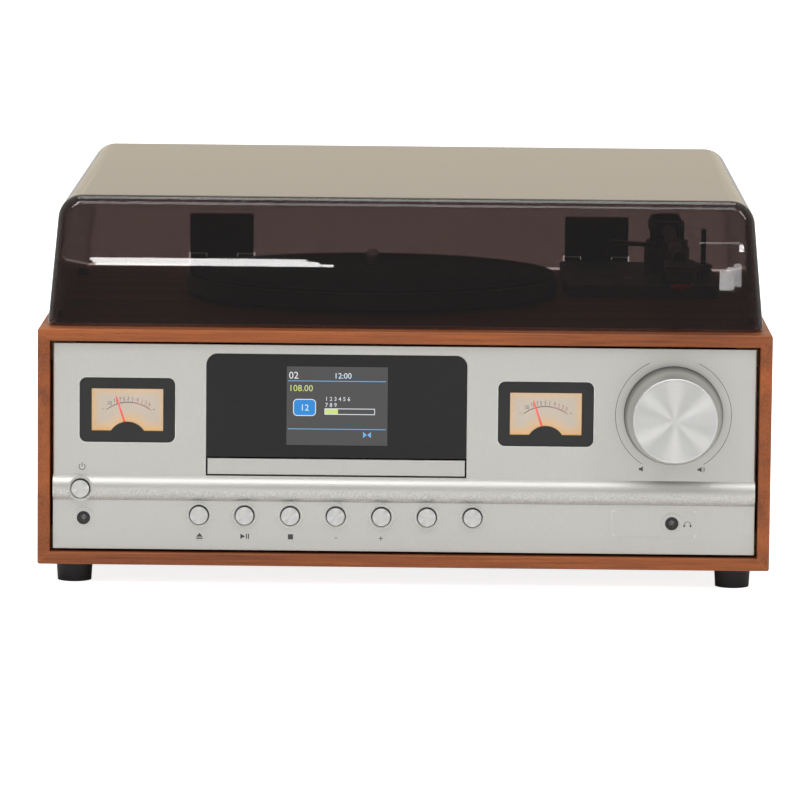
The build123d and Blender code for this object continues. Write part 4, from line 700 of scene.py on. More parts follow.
# ---------------------------------------------------------------- effects that several finishes share
class Effects:
    """Shader node groups, each built once."""

    built: dict[str, bpy.types.NodeTree] = {}

    @classmethod
    def start(cls, name: str, inputs: Sequence[tuple[str, str, Any]], outputs: Sequence[tuple[str, str]]) -> Any:
        """Opens a group with named sockets.

        Args:
            name: the group's name.
            inputs: (name, socket type, default or None).
            outputs: (name, socket type).

        Returns:
            The tree, its input node and its output node.
        """
        tree = bpy.data.node_groups.new(name, "ShaderNodeTree")
        for label, kind, value in inputs:
            socket = tree.interface.new_socket(name=label, in_out="INPUT", socket_type=kind)
            if value is not None:
                socket.default_value = value
        for label, kind in outputs:
            tree.interface.new_socket(name=label, in_out="OUTPUT", socket_type=kind)
        cls.built[name] = tree
        return tree, put(tree, "NodeGroupInput"), put(tree, "NodeGroupOutput")

    @classmethod
    def grain(cls) -> bpy.types.NodeTree:
        """Fine moulded or sprayed grain, as a mask and a height.

        Returns:
            The group.
        """
        if "grain" not in cls.built:
            tree, enter, leave = cls.start(
                "grain", [("Place", "NodeSocketVector", None), ("Scale", "NodeSocketFloat", 900.0),
                          ("Roughness", "NodeSocketFloat", 0.55)],
                [("Height", "NodeSocketFloat"), ("Mask", "NodeSocketFloat")])
            fine = put(tree, "ShaderNodeTexNoise", {"Vector": enter.outputs["Place"], "Scale": enter.outputs["Scale"],
                                                    "Detail": 3.0, "Roughness": enter.outputs["Roughness"]})
            wide_scale = math_node(tree, "MULTIPLY", enter.outputs["Scale"], 0.02)
            wide = put(tree, "ShaderNodeTexNoise",
                       {"Vector": enter.outputs["Place"], "Scale": wide_scale, "Detail": 4.0})
            tree.links.new(fine.outputs[0], leave.inputs["Height"])
            tree.links.new(ramp(tree, wide.outputs[0], 0.35, 0.68), leave.inputs["Mask"])
        return cls.built["grain"]

    @classmethod
    def wear(cls) -> bpy.types.NodeTree:
        """Where a sharp edge has been rubbed.

        Returns:
            The group.
        """
        if "wear" not in cls.built:
            tree, enter, leave = cls.start(
                "wear", [("Place", "NodeSocketVector", None), ("Reach", "NodeSocketFloat", 0.6 * MM),
                         ("Amount", "NodeSocketFloat", 0.5)], [("Mask", "NodeSocketFloat")])
            soft = put(tree, "ShaderNodeBevel", {"Radius": enter.outputs["Reach"]}, samples=4)
            true = put(tree, "ShaderNodeNewGeometry")
            dot = vector_node(tree, "DOT_PRODUCT", soft.outputs[0], true.outputs["Normal"]).outputs["Value"]
            edge = ramp(tree, dot, 0.99, 0.86)
            patch = put(tree, "ShaderNodeTexNoise", {"Vector": enter.outputs["Place"], "Scale": 120.0, "Detail": 5.0})
            broken = math_node(tree, "MULTIPLY", edge, ramp(tree, patch.outputs[0], 0.35, 0.65, 0.25, 1.0))
            mask = math_node(tree, "MULTIPLY", broken, enter.outputs["Amount"], clamp=True)
            tree.links.new(mask, leave.inputs["Mask"])
        return cls.built["wear"]

    @classmethod
    def wood(cls) -> bpy.types.NodeTree:
        """Straight fine grain that runs along X: broad tone, fibres and pores.

        Returns:
            The group.
        """
        if "wood" not in cls.built:
            tree, enter, leave = cls.start(
                "wood", [("Place", "NodeSocketVector", None), ("Size", "NodeSocketFloat", 1.0)],
                [("Tone", "NodeSocketFloat"), ("Fibre", "NodeSocketFloat"), ("Pore", "NodeSocketFloat")])
            scaled = vector_node(tree, "SCALE", enter.outputs["Place"])
            tree.links.new(enter.outputs["Size"], scaled.inputs["Scale"])

            def stretched(stretch: Sequence[float], scale: float, detail: float, twist: float = 0.0) -> Any:
                """Noise drawn out along the grain.

                Args:
                    stretch: scale along each axis.
                    scale: of the noise.
                    detail: of the noise.
                    twist: distortion.

                Returns:
                    The output socket.
                """
                laid = put(tree, "ShaderNodeMapping", {"Vector": scaled.outputs[0], "Scale": stretch})
                noise = put(tree, "ShaderNodeTexNoise", {"Vector": laid.outputs[0], "Scale": scale, "Detail": detail,
                                                         "Distortion": twist})
                return noise.outputs[0]

            broad = stretched((0.6, 9.0, 9.0), 6.0, 3.0, 0.6)
            fibre = stretched((1.6, 60.0, 60.0), 16.0, 4.0, 0.15)
            pore = stretched((9.0, 150.0, 150.0), 20.0, 1.0)
            tree.links.new(ramp(tree, broad, 0.3, 0.7), leave.inputs["Tone"])
            tree.links.new(ramp(tree, fibre, 0.3, 0.7), leave.inputs["Fibre"])
            tree.links.new(ramp(tree, pore, 0.62, 0.72), leave.inputs["Pore"])
        return cls.built["wood"]

    @classmethod
    def spun(cls) -> bpy.types.NodeTree:
        """Concentric cut lines of a turned metal face, which draw its shine into wedges.

        Returns:
            The group.
        """
        if "spun" not in cls.built:
            tree, enter, leave = cls.start(
                "spun", [("Place", "NodeSocketVector", None), ("Centre", "NodeSocketVector", None),
                         ("Axis", "NodeSocketVector", (0.0, 1.0, 0.0)), ("Strength", "NodeSocketFloat", 0.2)],
                [("Normal", "NodeSocketVector"), ("Ring", "NodeSocketFloat")])
            offset = vector_node(tree, "SUBTRACT", enter.outputs["Place"], enter.outputs["Centre"]).outputs[0]
            along = vector_node(tree, "PROJECT", offset, enter.outputs["Axis"]).outputs[0]
            spoke = vector_node(tree, "SUBTRACT", offset, along).outputs[0]
            radius = vector_node(tree, "LENGTH", spoke).outputs["Value"]
            outward = vector_node(tree, "NORMALIZE", spoke).outputs[0]
            depth = vector_node(tree, "LENGTH", along).outputs["Value"]
            travel = math_node(tree, "ADD", radius, depth)
            fine = put(tree, "ShaderNodeTexWhiteNoise", {"W": math_node(tree, "SNAP", travel, 0.04 * MM)},
                       noise_dimensions="1D")
            coarse = put(tree, "ShaderNodeTexNoise", {"W": math_node(tree, "MULTIPLY", travel, 2600.0), "Scale": 1.0,
                                                      "Detail": 2.0}, noise_dimensions="1D")
            lean = math_node(tree, "MULTIPLY", math_node(tree, "SUBTRACT", fine.outputs["Value"], 0.5),
                             enter.outputs["Strength"])
            true = put(tree, "ShaderNodeNewGeometry")
            push = vector_node(tree, "SCALE", outward)
            tree.links.new(lean, push.inputs["Scale"])
            leaned = vector_node(tree, "ADD", true.outputs["Normal"], push.outputs[0]).outputs[0]
            tree.links.new(vector_node(tree, "NORMALIZE", leaned).outputs[0], leave.inputs["Normal"])
            tree.links.new(coarse.outputs[0], leave.inputs["Ring"])
        return cls.built["spun"]

    @classmethod
    def dust(cls) -> bpy.types.NodeTree:
        """Fine dust that lies on what faces up.

        Returns:
            The group.
        """
        if "dust" not in cls.built:
            tree, enter, leave = cls.start(
                "dust", [("Place", "NodeSocketVector", None), ("Amount", "NodeSocketFloat", 0.1)],
                [("Mask", "NodeSocketFloat")])
            true = put(tree, "ShaderNodeNewGeometry")
            up = put(tree, "ShaderNodeSeparateXYZ", {0: true.outputs["Normal"]}).outputs["Z"]
            cloud = put(tree, "ShaderNodeTexNoise", {"Vector": enter.outputs["Place"], "Scale": 25.0, "Detail": 6.0})
            lying = math_node(tree, "MULTIPLY", ramp(tree, up, 0.5, 1.0), ramp(tree, cloud.outputs[0], 0.35, 0.75))
            tree.links.new(math_node(tree, "MULTIPLY", lying, enter.outputs["Amount"]), leave.inputs["Mask"])
        return cls.built["dust"]

    @classmethod
    def flakes(cls) -> bpy.types.NodeTree:
        """Metal flakes in a lacquer: each cell leans its own way.

        Returns:
            The group.
        """
        if "flakes" not in cls.built:
            tree, enter, leave = cls.start(
                "flakes", [("Place", "NodeSocketVector", None), ("Scale", "NodeSocketFloat", 2600.0),
                           ("Strength", "NodeSocketFloat", 0.1)],
                [("Normal", "NodeSocketVector"), ("Tint", "NodeSocketFloat")])
            cells = put(tree, "ShaderNodeTexVoronoi",
                        {"Vector": enter.outputs["Place"], "Scale": enter.outputs["Scale"]})
            centred = vector_node(tree, "SUBTRACT", cells.outputs["Color"], (0.5, 0.5, 0.5)).outputs[0]
            push = vector_node(tree, "SCALE", centred)
            tree.links.new(enter.outputs["Strength"], push.inputs["Scale"])
            true = put(tree, "ShaderNodeNewGeometry")
            leaned = vector_node(tree, "ADD", true.outputs["Normal"], push.outputs[0]).outputs[0]
            tree.links.new(vector_node(tree, "NORMALIZE", leaned).outputs[0], leave.inputs["Normal"])
            tree.links.new(put(tree, "ShaderNodeSeparateXYZ", {0: centred}).outputs["X"], leave.inputs["Tint"])
        return cls.built["flakes"]


class Shade:
    """One material while it is built: its tree, its main shader and its object coordinates."""

    def __init__(self, name: str) -> None:
        """Starts a material.

        Args:
            name: its name.
        """
        self.material = bpy.data.materials.new(name)
        self.material.use_nodes = True
        self.tree = self.material.node_tree
        self.tree.nodes.clear()
        self.body = put(self.tree, "ShaderNodeBsdfPrincipled")
        self.leave = put(self.tree, "ShaderNodeOutputMaterial", {"Surface": self.body.outputs[0]})
        self.place = put(self.tree, "ShaderNodeTexCoord").outputs["Object"]

    def fill(self, **inputs: Any) -> None:
        """Sets or links sockets of the main shader.

        Args:
            **inputs: a value or a socket for each, with underscores for spaces in their names.
        """
        for name, value in inputs.items():
            socket = self.body.inputs[name.replace("_", " ")]
            if isinstance(value, bpy.types.NodeSocket):
                self.tree.links.new(value, socket)
            else:
                socket.default_value = value

    def effect(self, group: bpy.types.NodeTree, **inputs: Any) -> Any:
        """Places a shared effect.

        Args:
            group: the effect.
            **inputs: values or sockets for its named inputs.

        Returns:
            The group node.
        """
        node = self.tree.nodes.new("ShaderNodeGroup")
        node.node_tree = group
        for name, value in {"Place": self.place, **inputs}.items():
            if isinstance(value, bpy.types.NodeSocket):
                self.tree.links.new(value, node.inputs[name])
            else:
                node.inputs[name].default_value = value
        return node

    def bump(self, height: Any, distance: float, strength: float = 1.0, normal: Any = None) -> Any:
        """A bumped normal.

        Args:
            height: socket of the height.
            distance: how deep the height is, in metres.
            strength: share of it.
            normal: a normal to start from, if there is one.

        Returns:
            The output socket.
        """
        inputs = {"Height": height, "Distance": distance, "Strength": strength}
        if normal is not None:
            inputs["Normal"] = normal
        return put(self.tree, "ShaderNodeBump", inputs).outputs[0]


# ---------------------------------------------------------------- finishes
@dataclass(frozen=True)
class Veneer:
    """Orange-brown wood-grain wrap."""

    name: str
    run: Run
    light: Colour = tone(172, 92, 36)
    dark: Colour = tone(100, 46, 14)
    gloss: float = 0.42

    def material(self) -> bpy.types.Material:
        """Builds the material.

        Returns:
            The material.
        """
        shade = Shade(self.name)
        tree = shade.tree
        laid = put(tree, "ShaderNodeMapping", {"Vector": shade.place, "Rotation": self.run.value,
                                               "Location": (0.31, 0.17, 0.23)}).outputs[0]
        wood = shade.effect(Effects.wood(), Place=laid, Size=1.0)
        wear = shade.effect(Effects.wear(), Reach=0.5 * MM, Amount=0.35)
        dust = shade.effect(Effects.dust(), Amount=0.05)
        share = math_node(tree, "ADD", math_node(tree, "MULTIPLY", wood.outputs["Tone"], 0.55),
                          math_node(tree, "MULTIPLY", wood.outputs["Fibre"], 0.45))
        colour = blend_colours(tree, share, self.dark, self.light)
        pored = blend_colours(tree, math_node(tree, "MULTIPLY", wood.outputs["Pore"], 0.35), colour, tone(92, 42, 22))
        rubbed = blend_colours(tree, wear.outputs["Mask"], pored, tone(205, 140, 90))
        dusty = blend_colours(tree, dust.outputs["Mask"], rubbed, tone(170, 160, 150))
        rough = ramp(tree, wood.outputs["Fibre"], 0.0, 1.0, self.gloss, self.gloss + 0.12)
        shade.fill(Base_Color=dusty, Roughness=rough, Normal=shade.bump(wood.outputs["Pore"], -0.03 * MM))
        return shade.material


@dataclass(frozen=True)
class RawBoard:
    """Unfinished softwood or pressed fibreboard."""

    name: str
    light: Colour
    dark: Colour
    fibre: float = 1.0

    def material(self) -> bpy.types.Material:
        """Builds the material.

        Returns:
            The material.
        """
        shade = Shade(self.name)
        wood = shade.effect(Effects.wood(), Size=self.fibre)
        grain = shade.effect(Effects.grain(), Scale=1400.0)
        colour = blend_colours(shade.tree, wood.outputs["Fibre"], self.dark, self.light)
        rough = ramp(shade.tree, grain.outputs["Mask"], 0.0, 1.0, 0.68, 0.85)
        shade.fill(Base_Color=colour, Roughness=rough, Normal=shade.bump(grain.outputs["Height"], 0.06 * MM))
        return shade.material


@dataclass(frozen=True)
class SilverLacquer:
    """Sprayed silver with fine metal flakes; a band of it can be coarser."""

    name: str
    colour: Colour = tone(202, 201, 196)
    shiny: float = 0.42
    band: tuple[float, float] | None = None
    wear_and_highlight_reach: float = 0.4 * MM
    wear_and_highlight_share: float = 0.5

    def material(self) -> bpy.types.Material:
        """Builds the material.

        Returns:
            The material.
        """
        shade = Shade(self.name)
        tree = shade.tree
        strength: Any = 0.05
        if self.band is not None:
            height = put(tree, "ShaderNodeSeparateXYZ", {0: shade.place}).outputs["Z"]
            low, high = self.band
            inside = math_node(tree, "MULTIPLY", ramp(tree, height, low, low + 0.6 * MM),
                               ramp(tree, height, high, high - 1.8 * MM))
            strength = ramp(tree, inside, 0.0, 1.0, 0.05, 0.35)
        flakes = shade.effect(Effects.flakes(), Strength=strength)
        grain = shade.effect(Effects.grain(), Scale=500.0)
        # Lighter rubbed edges: real wear, and where the share is full, as on the drawer, a painted highlight along the
        # edges.
        wear = shade.effect(Effects.wear(), Reach=self.wear_and_highlight_reach, Amount=self.wear_and_highlight_share)
        tinted = math_node(tree, "MULTIPLY", flakes.outputs["Tint"], math_node(tree, "MULTIPLY", 3.0, strength))
        share = math_node(tree, "ADD", 0.5, tinted)
        colour = blend_colours(tree, share, shaded(self.colour, 0.8), shaded(self.colour, 1.2))
        rubbed = blend_colours(tree, wear.outputs["Mask"], colour, tone(225, 225, 222))
        rough = ramp(tree, grain.outputs["Mask"], 0.0, 1.0, self.shiny, self.shiny + 0.05)
        shade.fill(Base_Color=rubbed, Metallic=0.72, Roughness=rough, Normal=flakes.outputs["Normal"])
        return shade.material


@dataclass(frozen=True)
class SpunMetal:
    """Turned aluminium with the wedge-shaped shine of its cut lines."""

    name: str
    centre: Place
    axis: Axis = Axis.ALONG_Y
    colour: Colour = tone(222, 222, 220)
    strength: float = 0.05
    shiny: float = 0.34
    lay: float = 0.97
    # radii of the painted dark reflection band at the foot, or None
    foot: Point | None = None

    def material(self) -> bpy.types.Material:
        """Builds the material; its foot, between two radii, goes over into a painted dark reflection.

        Returns:
            The material.
        """
        shade = Shade(self.name)
        tree = shade.tree
        spun = shade.effect(Effects.spun(), Centre=self.centre, Axis=self.axis.value, Strength=self.strength)
        wear = shade.effect(Effects.wear(), Reach=0.4 * MM, Amount=0.6)
        ring = ramp(tree, spun.outputs["Ring"], 0.25, 0.75, 0.0, 0.5)
        colour = blend_colours(tree, ring, self.colour, shaded(self.colour, 0.86))
        polished = blend_colours(tree, wear.outputs["Mask"], colour, tone(250, 250, 250))
        rough = ramp(tree, spun.outputs["Ring"], 0.2, 0.8, self.shiny, self.shiny + 0.08)
        spoke = vector_node(tree, "SUBTRACT", shade.place, self.centre).outputs[0]
        around = vector_node(tree, "CROSS_PRODUCT", self.axis.value, spoke).outputs[0]
        # Painted reflection: between the two foot radii the colour darkens, standing in for the dark surroundings that
        # the flared foot mirrors.
        if self.foot is not None:
            radius = vector_node(tree, "LENGTH", around).outputs["Value"]
            polished = blend_colours(tree, ramp(tree, radius, *self.foot, 0.0, 1.0), polished, tone(52, 52, 51))
        shade.fill(Base_Color=polished, Metallic=1.0, Roughness=rough, Normal=spun.outputs["Normal"],
                   Anisotropic=self.lay, Tangent=vector_node(tree, "NORMALIZE", around).outputs[0])
        return shade.material


@dataclass(frozen=True)
class Metal:
    """Plain bright metal, drawn, plated or turned."""

    name: str
    colour: Colour
    shiny: float = 0.25
    streaks: float = 0.04

    def material(self) -> bpy.types.Material:
        """Builds the material.

        Returns:
            The material.
        """
        shade = Shade(self.name)
        tree = shade.tree
        drawn = put(tree, "ShaderNodeMapping", {"Vector": shade.place, "Scale": (1.0, 30.0, 30.0)}).outputs[0]
        grain = shade.effect(Effects.grain(), Place=drawn, Scale=300.0)
        wear = shade.effect(Effects.wear(), Reach=0.3 * MM, Amount=0.5)
        colour = blend_colours(tree, grain.outputs["Mask"], shaded(self.colour, 0.8), self.colour)
        polished = blend_colours(tree, wear.outputs["Mask"], colour, tone(245, 245, 243))
        rough = ramp(tree, grain.outputs["Height"], 0.3, 0.7, self.shiny - self.streaks, self.shiny + self.streaks)
        shade.fill(Base_Color=polished, Metallic=1.0, Roughness=rough,
                   Normal=shade.bump(grain.outputs["Height"], 0.01 * MM, 0.5))
        return shade.material


@dataclass(frozen=True)
class Moulding:
    """Satin or matt moulded plastic with its fine skin."""

    name: str
    colour: Colour
    shiny: float = 0.45
    skin: float = 0.04 * MM
    edge: Colour = tone(96, 96, 97)

    def material(self) -> bpy.types.Material:
        """Builds the material.

        Returns:
            The material.
        """
        shade = Shade(self.name)
        tree = shade.tree
        grain = shade.effect(Effects.grain(), Scale=1700.0)
        wear = shade.effect(Effects.wear(), Reach=0.4 * MM, Amount=0.30)
        dust = shade.effect(Effects.dust(), Amount=0.06)
        colour = blend_colours(tree, grain.outputs["Mask"], self.colour, shaded(self.colour, 1.3, 0.003))
        rubbed = blend_colours(tree, wear.outputs["Mask"], colour, self.edge)
        dusty = blend_colours(tree, dust.outputs["Mask"], rubbed, tone(150, 148, 144))
        rough = ramp(tree, grain.outputs["Mask"], 0.0, 1.0, self.shiny, self.shiny + 0.1)
        shade.fill(Base_Color=dusty, Roughness=rough, Normal=shade.bump(grain.outputs["Height"], self.skin))
        return shade.material


@dataclass(frozen=True)
class GlossPanel:
    """Gloss black acrylic, printed behind."""

    name: str
    colour: Colour = tone(34, 34, 34)

    def material(self) -> bpy.types.Material:
        """Builds the material.

        Returns:
            The material.
        """
        shade = Shade(self.name)
        tree = shade.tree
        grain = shade.effect(Effects.grain(), Scale=260.0)
        wear = shade.effect(Effects.wear(), Reach=0.3 * MM, Amount=0.35)
        colour = blend_colours(tree, grain.outputs["Mask"], self.colour, shaded(self.colour, 1.15))
        rubbed = blend_colours(tree, wear.outputs["Mask"], colour, tone(120, 120, 120))
        rough = ramp(tree, grain.outputs["Mask"], 0.0, 1.0, 0.07, 0.13)
        shade.fill(Base_Color=rubbed, Roughness=rough, Specular_IOR_Level=0.16,
                   Normal=shade.bump(grain.outputs["Height"], 0.002 * MM, 0.4))
        return shade.material


@dataclass(frozen=True)
class ClearAcrylic:
    """See-through acrylic, clear, or smoked all through: then it darkens with its depth."""

    name: str
    colour: Colour
    wall: float = 0.0
    haze: float = 0.0

    def material(self) -> bpy.types.Material:
        """Builds the material.

        Returns:
            The material.
        """
        shade = Shade(self.name)
        tree = shade.tree
        grain = shade.effect(Effects.grain(), Scale=350.0)
        dust = shade.effect(Effects.dust(), Amount=0.02)
        skin = self.colour if self.wall == 0.0 else WHITE
        colour = blend_colours(tree, grain.outputs["Mask"], skin, shaded(skin, 0.93))
        dusty = blend_colours(tree, dust.outputs["Mask"], colour, tone(190, 186, 180))
        rough = ramp(tree, grain.outputs["Mask"], 0.0, 1.0, self.haze, self.haze + 0.015)
        shade.fill(Base_Color=dusty, Roughness=rough, IOR=1.49, Transmission_Weight=1.0)
        if self.wall > 0.0:
            taken = [-math.log(part) / self.wall for part in self.colour[:3]]
            density = 1.25 * max(taken)
            left = tuple(1.0 - part / density for part in taken) + (1.0,)
            smoke = put(tree, "ShaderNodeVolumeAbsorption", {"Color": left, "Density": density})
            tree.links.new(smoke.outputs[0], shade.leave.inputs["Volume"])
        return shade.material


@dataclass(frozen=True)
class LitDial:
    """Cream meter card, lit from its rim, amber at its edges and round the needle's cover."""

    name: str
    centres: tuple[float, float]
    middle_z: float
    half_width: float
    half_height: float
    hub_z: float
    hub_radius: float
    halo: float

    def material(self) -> bpy.types.Material:
        """Builds the material.

        Returns:
            The material.
        """
        shade = Shade(self.name)
        tree = shade.tree
        axes = put(tree, "ShaderNodeSeparateXYZ", {0: shade.place})
        left, right = (math_node(tree, "ABSOLUTE", math_node(tree, "SUBTRACT", axes.outputs["X"], x))
                       for x in self.centres)
        across = math_node(tree, "MINIMUM", left, right)
        upward = math_node(tree, "SUBTRACT", axes.outputs["Z"], self.middle_z)
        drop = math_node(tree, "SUBTRACT", axes.outputs["Z"], self.hub_z)
        away = math_node(tree, "SQRT", math_node(tree, "ADD", math_node(tree, "MULTIPLY", across, across),
                                                 math_node(tree, "MULTIPLY", drop, drop)))
        side = ramp(tree, across, self.half_width * 0.80, self.half_width, 0.0, 0.75)
        high = ramp(tree, upward, self.half_height * 0.42, self.half_height, 0.0, 1.0)
        low = ramp(tree, upward, -self.half_height * 0.55, -self.half_height, 0.0, 1.0)
        round_hub = ramp(tree, away, self.hub_radius, self.hub_radius + self.halo, 0.75, 0.0)
        rim = math_node(tree, "MAXIMUM", math_node(tree, "MAXIMUM", side, round_hub),
                        math_node(tree, "MAXIMUM", high, low))
        grain = shade.effect(Effects.grain(), Scale=2200.0)
        mottle = math_node(tree, "MULTIPLY", grain.outputs["Mask"], 0.12)
        card = blend_colours(tree, mottle, tone(192, 180, 164), tone(176, 158, 140))
        glow = blend_colours(tree, rim, card, tone(232, 176, 96))
        shade.fill(Base_Color=tone(120, 100, 80), Roughness=0.6, Emission_Color=glow, Emission_Strength=0.92)
        return shade.material


@dataclass(frozen=True)
class Ink:
    """A printed mark."""

    name: str
    colour: Colour

    def material(self) -> bpy.types.Material:
        """Builds the material.

        Returns:
            The material.
        """
        shade = Shade(self.name)
        grain = shade.effect(Effects.grain(), Scale=2600.0)
        colour = blend_colours(shade.tree, grain.outputs["Mask"], self.colour, shaded(self.colour, 1.35, 0.01))
        shade.fill(Base_Color=colour, Roughness=ramp(shade.tree, grain.outputs["Mask"], 0.0, 1.0, 0.45, 0.6))
        return shade.material


@dataclass(frozen=True)
class Glow:
    """Lit picture elements, seen as fine lines of dots."""

    name: str
    colour: Colour
    strength: float = 1.0
    pitch: float = 0.24 * MM

    def material(self) -> bpy.types.Material:
        """Builds the material.

        Returns:
            The material.
        """
        shade = Shade(self.name)
        tree = shade.tree
        axes = put(tree, "ShaderNodeSeparateXYZ", {0: shade.place})
        waves = [math_node(tree, "SINE", math_node(tree, "MULTIPLY", axes.outputs[name], math.pi * 2 / self.pitch))
                 for name in ("X", "Z")]
        dots = ramp(tree, math_node(tree, "ADD", *waves), -2.0, 2.0, 0.82, 1.0)
        dim = vector_node(tree, "SCALE", self.colour[:3])
        tree.links.new(dots, dim.inputs["Scale"])
        shade.fill(Base_Color=shaded(self.colour, 0.1), Roughness=0.3, Specular_IOR_Level=0.3,
                   Emission_Color=dim.outputs[0], Emission_Strength=self.strength)
        return shade.material


@dataclass(frozen=True)
class Circuitry:
    """Solder mask with copper runs under it."""

    name: str
    mask: Colour = tone(30, 92, 52)

    def material(self) -> bpy.types.Material:
        """Builds the material.

        Returns:
            The material.
        """
        shade = Shade(self.name)
        tree = shade.tree
        bricks = put(tree, "ShaderNodeTexBrick", {"Vector": shade.place, "Scale": 160.0, "Mortar Size": 0.06})
        grain = shade.effect(Effects.grain(), Scale=400.0)
        runs = math_node(tree, "MULTIPLY", bricks.outputs["Fac"], grain.outputs["Mask"])
        colour = blend_colours(tree, runs, self.mask, tone(86, 140, 82))
        rough = ramp(tree, runs, 0.0, 1.0, 0.35, 0.25)
        shade.fill(Base_Color=colour, Roughness=rough, Normal=shade.bump(runs, 0.03 * MM))
        return shade.material


@dataclass(frozen=True)
class PlatedFront:
    """Black moulding whose part beyond a plane, towards the back, is plated metal."""

    name: str
    beyond: float

    def material(self) -> bpy.types.Material:
        """Builds the material.

        Returns:
            The material.
        """
        shade = Shade(self.name)
        tree = shade.tree
        depth = put(tree, "ShaderNodeSeparateXYZ", {0: shade.place}).outputs["Y"]
        plated = ramp(tree, depth, self.beyond, self.beyond + 0.1 * MM)
        grain = shade.effect(Effects.grain(), Scale=1500.0)
        wear = shade.effect(Effects.wear(), Reach=0.3 * MM, Amount=0.4)
        colour = blend_colours(tree, plated, tone(30, 30, 31), tone(214, 212, 206))
        rubbed = blend_colours(tree, wear.outputs["Mask"], colour, tone(200, 198, 194))
        rough = ramp(tree, plated, 0.0, 1.0, 0.5, 0.22)
        shade.fill(Base_Color=rubbed, Metallic=plated, Roughness=rough,
                   Normal=shade.bump(grain.outputs["Height"], 0.02 * MM))
        return shade.material


# ---------------------------------------------------------------- the pieces
@dataclass
class SubAssembly:
    """A group of pieces: it dresses the carried-over shapes and adds its own."""

    def dress(self, finish: Finish, *nodes: str) -> None:
        """Gives carried-over shapes a finish.

        Args:
            finish: the finish.
            *nodes: their names.
        """
        material = finish.material()
        for name in nodes:
            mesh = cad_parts[name].data
            mesh.materials.clear()
            mesh.materials.append(material)
            LOG.info("dressed %s with %s", name, material.name)

    def add(self, piece: bpy.types.Object, finish: Finish | bpy.types.Material | None, body: str, slot: str) -> None:
        """Gives a new piece its finish and the body that it moves with.

        Args:
            piece: the new object.
            finish: a finish, a finished material, or nothing where the piece has its material.
            body: the body's name.
            slot: the name of a material slot; not used.
        """
        if finish is not None:
            piece.data.materials.clear()
            piece.data.materials.append(finish if isinstance(finish, bpy.types.Material) else finish.material())
        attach(piece, body)
        LOG.info("built %s on %s", piece.name, body)


@dataclass
class Cabinet(SubAssembly):
    """The wood-wrapped case with its feet and corner blocks."""

    foot: Moulding = Moulding("foot_plastic", tone(24, 24, 25), shiny=0.6)

    def build(self) -> None:
        """Dresses the case."""
        self.dress(Veneer("veneer_across", Run.ALONG_X), "top_board", "bottom_board")
        self.dress(Veneer("veneer_upright", Run.ALONG_Y), "left_board", "right_board")
        self.dress(RawBoard("batten_wood", tone(214, 184, 140), tone(176, 140, 98)), "corner_blocks")
        self.dress(self.foot, "feet")


